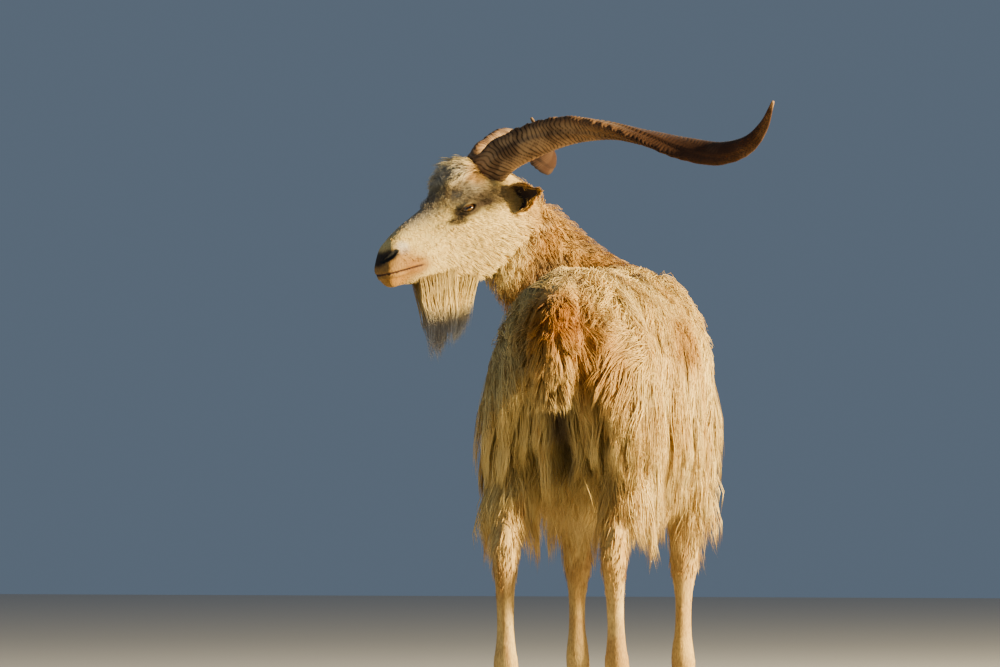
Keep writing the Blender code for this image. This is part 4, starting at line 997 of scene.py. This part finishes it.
# Of a tuft's length, vary is spread over the clumps and each over the tufts. It sets out lifted off the skin by
# lift, its root sunk by sink, and runs up to about rise over the forms of clearOf, the first of which it clings to.
sideLook = {
    "count": 6900, "steps": 5, "length": 0.165, "vary": 0.34, "each": 0.35, "width": 0.0020, "thick": 0.5,
    "taper": 2.2, "twist": 1.2, "lift": 0.02, "flat": 1.0, "rise": 0.005, "sink": 0.002, "gravity": 0.36,
    "wave": 0.0036, "period": 0.105, "stray": 0.50, "pinch": 0.62, "perClump": 34, "lie": bodyLie,
    "clearOf": bodyForms, "cling": 0.8, "scale": lambda p, n: 1.0,
}
shortLook = {**sideLook, "steps": 3, "wave": 0.0006, "period": 0.03, "stray": 0.6, "clearOf": []}
coats = {
    "coatLeft": {**sideLook, "where": middleBody & (skinCentres[:, 0] > spine), "count": 6000},
    "coatRight": {**sideLook, "where": middleBody & (skinCentres[:, 0] <= spine)},
    "coatRump": {
        **sideLook, "where": isTrunk & (faceBack > 0.32) & (faceUp <= 0.62) & (skinHeights > hemHeight),
        "length": 0.150, "scale": rumpScale,
    },
    "coatBack": {
        **sideLook, "where": isTrunk & (faceUp > 0.52), "count": 5700, "steps": 6, "length": 0.105, "wave": 0.0062,
        "period": 0.052, "stray": 1.2, "perClump": 16, "lift": 0.16, "rise": 0.007, "scale": rumpScale,
    },
    "coatHem": {
        **sideLook, "where": isTrunk & (skinHeights < 0.47) & (faceUp <= 0.62), "count": 3600, "length": 0.105,
        "gravity": 0.5,
    },
    "coatNeck": {
        **sideLook, "where": isForm["neck"], "count": 9000, "steps": 4, "length": 0.030, "width": 0.0016,
        "wave": 0.0016, "period": 0.034, "perClump": 9, "stray": 0.8, "lift": 0.25, "pinch": 0.5,
        "lie": formLie("neck", 0.45, -1), "clearOf": ["neck", "trunk", "skull"], "gravity": 0.25,
    },
    "coatTail": {
        **sideLook, "where": isForm["tail"], "count": 3000, "length": 0.056, "width": 0.0022, "rise": 0.007,
        "wave": 0.002, "lie": formLie("tail", 0.4, 1), "clearOf": ["tail", "trunk"], "perClump": 24,
        "scale": lambda p, n: 0.50 + 0.50 * ramp(0.665 - p[:, 2], 0.08), "cling": 0.0,
    },
    "coatLegs": {
        **shortLook, "where": isLeg & (skinHeights <= kneeHeight) & (skinHeights > 0.05), "count": 4500,
        "length": 0.020, "width": 0.0016, "rise": 0.002, "lift": 0.16, "stray": 0.5, "pinch": 0.4, "perClump": 6,
        "lie": lambda p, n: np.tile([0.0, 0.15, -1.0], (len(p), 1)),
        "scale": lambda p, n: 0.60 + 2.4 * ramp(p[:, 2] - 0.20, 0.22),
    },
    "coatFace": {
        **shortLook, "where": faceHair, "count": 12000, "length": 0.018, "width": 0.0011, "rise": 0.001,
        "lift": 0.10, "pinch": 0.45, "perClump": 9, "lie": headLie, "scale": faceScale, "gravity": 0.05,
        "sink": 0.0005, "taper": 1.6,
    },
    "coatEars": {
        **shortLook, "where": onEar & ~inCup, "count": 1700, "length": 0.013, "width": 0.0011, "rise": 0.001,
        "wave": 0.0004, "period": 0.02, "lift": 0.22, "pinch": 0.3, "perClump": 6, "lie": earLie, "gravity": 0.0,
        "sink": 0.0003,
    },
    "beard": {  # three points, by its leaders' places in the head
        **sideLook, "where": chin, "count": 2200, "steps": 6, "length": 0.122, "width": 0.0015, "rise": 0.002,
        "wave": 0.0024, "period": 0.085, "lift": 0.10, "gravity": 0.5, "perClump": 60, "pinch": 0.80, "sink": 0.001,
        "lie": lambda p, n: np.array([-0.12, 0, 0]) @ headTurn + np.array([0, 0, -1.0]) + 0 * p, "clearOf": [],
        "leaders": [(0.160, 0.006, -0.08), (0.172, -0.006, -0.08), (0.166, 0.002, -0.08)],
        "scale": beardScale, "stray": 0.22, "vary": 0.10, "each": 1.15, "taper": 1.2, "flat": 0.25,
    },
    "forelock": {  # shorter down the forehead
        **sideLook, "where": crown, "count": 2600, "length": 0.038, "width": 0.0012, "rise": 0.001, "wave": 0.0012,
        "period": 0.040, "lift": 0.80, "gravity": 0.16, "perClump": 16, "pinch": 0.5, "sink": 0.001,
        "lie": lambda p, n: np.array([1.0, 0, -0.1]) @ headTurn + 0 * p, "clearOf": ["skull"], "stray": 0.7,
        "cling": 0.0, "scale": lambda p, n: 1.15 - 0.90 * ramp(fromHead(p)[:, 0] - 0.090, 0.05),
    },
}
coatPieces = [growTufts(name, look) for name, look in coats.items()]


class Wire:
    # a node's output, with + - * / as Math nodes
    def __init__(self, tree, socket):
        self.tree = tree
        self.socket = socket

    def node(self, kind, settings, values, output=0):
        made = self.tree.nodes.new(kind)
        for key, value in settings.items():
            setattr(made, key, value)
        for key, value in values.items():
            if isinstance(value, Wire):
                self.tree.links.new(value.socket, made.inputs[key])
            else:
                made.inputs[key].default_value = value
        return Wire(self.tree, made.outputs[output])

    def maths(self, operation, *values):
        return self.node("ShaderNodeMath", {"operation": operation}, dict(enumerate((self, *values))))

    def vector(self, operation, *values, output=0):
        return self.node("ShaderNodeVectorMath", {"operation": operation}, dict(enumerate((self, *values))), output)

    def __add__(self, other):
        return self.maths("ADD", other)

    def __sub__(self, other):
        return self.maths("SUBTRACT", other)

    def __mul__(self, other):
        return self.maths("MULTIPLY", other)

    def __truediv__(self, other):
        return self.maths("DIVIDE", other)

    def __rsub__(self, other):
        return self.node("ShaderNodeMath", {"operation": "SUBTRACT"}, {0: other, 1: self})

    __radd__ = __add__
    __rmul__ = __mul__

    def mix(self, colour, share):
        # this colour towards another by a share
        colour = colour if isinstance(colour, Wire) else (*colour, 1)
        return self.node("ShaderNodeMix", {"data_type": "RGBA"}, {0: share, 6: self, 7: colour}, 2)

    def tint(self, times, share):
        # this colour towards itself times a colour, by a share
        return self.mix(self.vector("MULTIPLY", times), share)

    def step(self, start, end):
        # 0 at start, 1 at end, smooth between
        settings = {"interpolation_type": "SMOOTHSTEP"}
        return self.node("ShaderNodeMapRange", settings, {0: self, 1: start, 2: end, 3: 0.0, 4: 1.0})

    def blob(self, centre, reach, edge=0.5):
        # 1 inside the ellipsoid, 0 outside it
        off = self.vector("SUBTRACT", tuple(centre)).vector("DIVIDE", tuple(reach))
        return 1 - off.vector("LENGTH", output=1).step(1 - edge, 1 + edge)

    def noise(self, scale, detail=3.0, stretch=(1, 1, 1)):
        spot = self.vector("MULTIPLY", stretch)
        return self.node("ShaderNodeTexNoise", {}, {"Vector": spot, "Scale": scale, "Detail": detail})

    def height(self):
        return self.node("ShaderNodeSeparateXYZ", {}, {0: self}, 2)

    def colour(self, value):
        made = self.node("ShaderNodeRGB", {}, {})
        made.socket.default_value = (*value, 1)
        return made

    def value(self, name):
        # the mesh's own value of that name
        return self.node("ShaderNodeAttribute", {"attribute_type": "GEOMETRY", "attribute_name": name}, {}, 2)

    def bump(self, strength, distance):
        return self.node("ShaderNodeBump", {}, {"Strength": strength, "Distance": distance, "Height": self})


def startMaterial(name):
    made = bpy.data.materials.new(name)
    made.use_nodes = True
    tree = made.node_tree
    return made, tree.nodes["Principled BSDF"], Wire(tree, tree.nodes.new("ShaderNodeTexCoord").outputs["Object"])


def setShader(shader, links, constants):
    for key, wire in links.items():
        wire.tree.links.new(wire.socket, shader.inputs[key])
    for key, value in constants.items():
        shader.inputs[key].default_value = value


paint = {
    "cream": (0.76, 0.51, 0.15), "pale": (0.86, 0.65, 0.24), "straw": (0.38, 0.19, 0.045),
    "gold": (0.46, 0.21, 0.022), "rust": (0.45, 0.165, 0.004), "greyBrown": (0.14, 0.085, 0.05),
    "muzzle": (0.31, 0.125, 0.012), "nose": (0.016, 0.009, 0.007), "lip": (0.05, 0.011, 0.005),
    "dark": (0.035, 0.013, 0.006), "bridgeGreyAndShade": (0.36, 0.31, 0.25), "white": (0.78, 0.72, 0.60),
    "beardShadeGrey": (0.56, 0.55, 0.54), "black": (0.004, 0.003, 0.003),
}
bodyMarks = [  # place, reach, colour, share
    ((0.03, -0.150, 0.63), (0.08, 0.10, 0.055), "gold", 0.8),
    ((-0.26, -0.145, 0.64), (0.06, 0.08, 0.045), "gold", 0.35),
    ((-0.45, 0.00, 0.635), (0.072, 0.10, 0.080), "gold", 0.9),
    ((-0.44, 0.00, 0.670), (0.055, 0.09, 0.050), "rust", 0.95),
    ((-0.42, -0.085, 0.590), (0.045, 0.10, 0.090), "gold", 0.8),
    ((0.48, 0.15, 0.76), (0.19, 0.15, 0.17), "gold", 0.80),
    ((0.44, 0.24, 0.83), (0.06, 0.07, 0.06), "rust", 0.6),
    # painted shade in the gap between the hind legs
    ((-0.42, 0.00, 0.460), (0.021, 0.12, 0.125), "dark", 0.92),
]
headMarks = [  # forward, left, up in the head, reach, colour, share, edge
    # the white beard painted grey, as painted shade
    ((0.175, 0.0, -0.15), (0.085, 0.07, 0.085), "beardShadeGrey", 1.0, 0.15),
    ((0.15, 0.0, 0.0), (0.17, 0.10, 0.14), "pale", 1.0, 0.2),
    ((0.19, 0.0, 0.06), (0.10, 0.030, 0.035), "bridgeGreyAndShade", 0.9, 0.5),
    ((0.110, 0.0, 0.105), (0.04, 0.05, 0.02), "white", 1.0, 0.5),
    # painted shadow of the horn on the forehead, in the nose bridge's grey
    ((0.112, 0.045, 0.074), (0.045, 0.035, 0.022), "bridgeGreyAndShade", 0.75, 0.6),
    ((0.080, 0.035, 0.098), (0.022, 0.035, 0.022), "gold", 0.7, 0.5),
    ((0.072, 0.058, 0.052), (0.045, 0.03, 0.018), "greyBrown", 0.75, 0.5),
    ((0.245, 0.030, 0.004), (0.012, 0.02, 0.012), "white", 0.9, 0.5),
    ((0.015, 0.100, 0.046), (0.050, 0.040, 0.040), "gold", 0.75, 0.5),
    ((0.265, 0.02, -0.026), (0.052, 0.05, 0.032), "muzzle", 0.85, 0.45),
    ((0.225, 0.03, -0.034), (0.026, 0.03, 0.016), "muzzle", 0.8, 0.5),
    ((0.290, 0.0, -0.006), (0.022, 0.030, 0.014), "nose", 0.95, 0.35),
    ((0.270, 0.026, -0.002), (0.016, 0.02, 0.009), "nose", 0.9, 0.4),
    ((0.270, 0.012, -0.052), (0.030, 0.03, 0.012), "gold", 0.8, 0.5),
    ((0.120, 0.050, 0.039), (0.026, 0.03, 0.011), "dark", 0.92, 0.4),
    ((0.138, 0.045, 0.026), (0.018, 0.03, 0.0070), "dark", 0.85, 0.5),
    ((0.085, 0.054, 0.045), (0.018, 0.03, 0.006), "greyBrown", 0.8, 0.5),
]


def markings(spot):
    # the coat's colour at a place: cream with pale and straw streaks, greyer low down, then the marks, each mixed
    # in by its share inside its ellipsoid, the head's ones the same on both sides; some marks are painted shade
    wide = spot.noise(7.0, 2.0)
    fine = spot.noise(60.0, 3.0, (1, 1, 0.16))
    single = spot.noise(520.0, 1.0, (1, 1, 0.07))
    hue = spot.colour(paint["cream"]).mix(paint["pale"], wide.step(0.35, 0.65))
    hue = hue.mix(paint["straw"], fine.step(0.50, 0.78) * 0.8)
    hue = hue.mix(paint["straw"], single.step(0.50, 0.72) * 0.35)
    patch = spot.noise(15.0, 2.0)
    low = 1 - spot.height().step(0.24, 0.44)
    hue = hue.mix(paint["straw"], low * (0.25 + patch.step(0.35, 0.65) * 0.45))
    for centre, reach, name, share in bodyMarks:
        inMark = spot.blob(place(centre), reach, 0.6)
        hue = hue.mix(paint[name], inMark * (wide.step(0.25, 0.6) * 0.4 + 0.6) * share)
    onNeck = spot.blob(place((0.45, 0.12, 0.74)), (0.17, 0.16, 0.16), 0.4)
    hue = hue.mix(paint["greyBrown"], patch.step(0.52, 0.68) * onNeck * 0.55)
    away = spot.vector("SUBTRACT", tuple(place(head["atlas"])))
    f, l, u = [away.vector("DOT_PRODUCT", tuple(axis), output=1) for axis in headTurn]
    inside = spot.node("ShaderNodeCombineXYZ", {}, {0: f, 1: l.maths("ABSOLUTE"), 2: u})
    for centre, reach, name, share, edge in headMarks:
        hue = hue.mix(paint[name], inside.blob(centre, reach, edge) * share)
    mouth = (1 - (u + 0.0335).maths("ABSOLUTE").step(0.0006, 0.0030)) * f.step(0.208, 0.218)
    hue = hue.mix(paint["lip"], mouth * inside.blob((0.25, 0.0, -0.0335), (0.07, 0.06, 0.02), 0.3) * 0.95)
    for *nostril, radius in smoothRows(head["nostril"], 5):
        hue = hue.mix(paint["black"], inside.blob(nostril, (radius * 1.5, 0.012, radius * 1.15), 0.25))
    return hue


def skinMaterial():
    made, shader, spot = startMaterial("skinCoat")
    hair = spot.noise(380.0, 2.0, (1, 1, 0.40))
    hue = markings(spot).tint((0.36, 0.29, 0.22), hair.step(0.60, 0.35) * 0.4)
    setShader(shader, {"Base Color": hue, "Normal": hair.bump(0.7, 0.0012)}, {"Roughness": 0.8})
    return made


def coatMaterial():
    # the markings, greyer on the back by the tuft's tone, darker at the roots as painted shade deep in the coat,
    # cooler and lighter at the tips
    made, shader, spot = startMaterial("coatHair")
    along, tone = spot.value("along"), spot.value("tone")
    high = spot.height().step(0.66, 0.76) * (1 - spot.blob(place(head["atlas"]), (0.36, 0.36, 0.30), 0.2))
    hue = markings(spot).mix(paint["greyBrown"], high * (1 - tone.step(0.30, 0.55)) * 0.6)
    # painted shade: each tuft darker towards its root
    hue = hue.tint((0.32, 0.26, 0.20), (1 - along.step(0.0, 0.55)) * 0.55)
    hue = hue.tint((1.20, 1.27, 1.45), along.step(0.4, 1.0) * tone * 0.7)
    hue = hue.tint((0.42, 0.34, 0.27), (1 - tone.step(0.05, 0.60)) * 0.62)
    setShader(shader, {"Base Color": hue}, {"Roughness": 0.55, "Specular IOR Level": 0.35})
    return made


def eyeMaterial():
    # the iris is amber to brown outwards, the pupil a level slot, the rim and the white dark
    made, shader, spot = startMaterial("eyeWet")
    x, y, out = [spot.value(name) for name in ("eyeAlong", "eyeUp", "eyeOut")]
    wide = (x * x + y * y).maths("SQRT")
    streak = spot.noise(900.0, 2.0)
    hue = spot.colour((0.17, 0.080, 0.016)).mix((0.060, 0.022, 0.006), wide.step(0.25, 0.62))
    hue = hue.mix((0.28, 0.14, 0.03), streak.step(0.45, 0.7) * 0.45)
    px, py = x / eyes["pupil"][0], y / eyes["pupil"][1]
    slot = px * px * px * px + py * py * py * py
    hue = hue.mix((0.004, 0.004, 0.006), 1 - slot.step(0.7, 1.3))
    hue = hue.mix((0.03, 0.015, 0.008), wide.step(0.60, 0.70))
    hue = hue.mix((0.40, 0.27, 0.20), wide.step(0.80, 0.95) * out.step(-0.1, 0.1) * 0.4)
    setShader(shader, {"Base Color": hue}, {"Roughness": 0.08, "Coat Weight": 1.0, "Coat Roughness": 0.02})
    return made


def hornMaterial():
    # a tan ground that darkens outwards with brown patches, dark grooves, fainter from half way, and a pale tip
    made, shader, spot = startMaterial("hornKeratin")
    share, groove, keel = [spot.value(name) for name in ("share", "groove", "keel")]
    grain, broad = spot.noise(90.0, 4.0), spot.noise(22.0, 3.0)
    hue = spot.colour((0.46, 0.285, 0.135)).mix((0.050, 0.021, 0.009), share.step(0.18, 0.52))
    hue = hue.mix((0.125, 0.066, 0.032), broad.step(0.46, 0.66) * share.step(0.35, 0.60) * 0.7)
    hue = hue.mix((0.17, 0.075, 0.03), keel.step(0.6, 1.0) * (1 - share.step(0.3, 0.6)) * 0.7)
    hue = hue.mix((0.07, 0.030, 0.012), broad.step(0.45, 0.65) * (1 - share.step(0.5, 0.8)) * 0.75)
    inGroove = (1 - groove.step(0.22, 0.85)) * (1 - share.step(0.50, 0.80) * 0.45)
    hue = hue.mix((0.012, 0.006, 0.004), inGroove * (broad.step(0.38, 0.60) * 0.45 + 0.5))
    hue = hue.mix((0.05, 0.02, 0.01), (1 - share.step(0.0, 0.04)) * 0.6)
    hue = hue.mix((0.07, 0.03, 0.014), grain.step(0.45, 0.75) * 0.45)
    hue = hue.mix((0.34, 0.20, 0.09), share.step(0.970, 1.0))
    constants = {"Roughness": 0.62, "Specular IOR Level": 0.2}
    setShader(shader, {"Base Color": hue, "Normal": grain.bump(0.3, 0.001)}, constants)
    return made


def hoofMaterial():
    made, shader, spot = startMaterial("hoofKeratin")
    grain = spot.noise(70.0, 4.0, (0.4, 0.4, 3.0))
    hue = spot.colour((0.10, 0.075, 0.055)).mix((0.24, 0.19, 0.14), grain.step(0.4, 0.7))
    setShader(shader, {"Base Color": hue}, {"Roughness": 0.5})
    return made


def plainMaterial(name, colour, roughness):
    made, shader, _ = startMaterial(name)
    setShader(shader, {}, {"Base Color": (*colour, 1), "Roughness": roughness})
    return made


def dress(pieces, material):
    for made in pieces:
        made.data.materials.clear()
        made.data.materials.append(material)


floor = addMesh("floor", np.array([(-9, -9, 0), (9, -9, 0), (9, 9, 0), (-9, 9, 0)], float), np.array([(0, 1, 2, 3)]))
dress([skin], skinMaterial())
dress(coatPieces, coatMaterial())
# the ear's hollow painted near black, as painted shade
dress(earShadeSheets, plainMaterial("earShadeSheet", (0.035, 0.018, 0.012), 0.8))
dress(eyeBalls, eyeMaterial())
dress(hornPair, hornMaterial())
dress(feet, hoofMaterial())
dress([floor], plainMaterial("floorPlain", (0.44, 0.44, 0.45), 0.9))
print("materials made")

camera = {
    "turn": math.radians(11), "right": -0.1726, "aimHeight": 0.6516, "height": 0.53, "distance": 15.0,
    "span": 1.70,  # the picture's width at the goat
}
sky = {"colour": (0.52, 0.70, 0.95, 1), "strength": 0.20}
lampAim = (0, 0, 0.7)
lamps = [  # to the right, towards the camera, up, size, power, colour: the low sun, the sky's fill, the rim
    (4.70, 1.16, 1.80, 0.4, 1450, (1.0, 0.80, 0.43)),
    (-2.4, 2.2, 1.8, 2.4, 10, (0.72, 0.86, 1.0)),
    (0.6, -2.4, 2.6, 2.0, 26, (1.0, 0.88, 0.70)),
]


def pointAt(name, data, stand, aim):
    # a camera or lamp that stands at one place and looks at another
    made = bpy.data.objects.new(name, data)
    made.location = stand
    made.rotation_euler = Vector(np.array(aim) - stand).to_track_quat("-Z", "Y").to_euler()
    bpy.context.scene.collection.objects.link(made)
    return made


ahead = np.array([math.sin(camera["turn"]), -math.cos(camera["turn"]), 0])
right = np.array([-math.cos(camera["turn"]), -math.sin(camera["turn"]), 0])
middle = place((0, 0, 0)) + right * camera["right"]
lens = bpy.data.cameras.new("camera")
lens.lens = 36 * camera["distance"] / camera["span"]
lens.clip_end = 100
stand = middle - ahead * camera["distance"] + [0, 0, camera["height"]]
bpy.context.scene.camera = pointAt("camera", lens, stand, middle + [0, 0, camera["aimHeight"]])
world = bpy.data.worlds.new("studio")
world.use_nodes = True
world.node_tree.nodes["Background"].inputs["Color"].default_value = sky["colour"]
world.node_tree.nodes["Background"].inputs["Strength"].default_value = sky["strength"]
bpy.context.scene.world = world
for toRight, nearer, up, size, power, colour in lamps:
    light = bpy.data.lights.new("softbox", "AREA")
    light.size = size
    light.energy = power
    light.color = colour
    pointAt("softbox", light, middle + right * toRight - ahead * nearer + [0, 0, up], lampAim)
print("camera and lamps set")

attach(skin, "root")
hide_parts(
    "torso", "neck", "head", "beard", "tail", "ear_left", "ear_right",
    "fore_leg_left", "fore_leg_right", "hind_leg_left", "hind_leg_right",
)
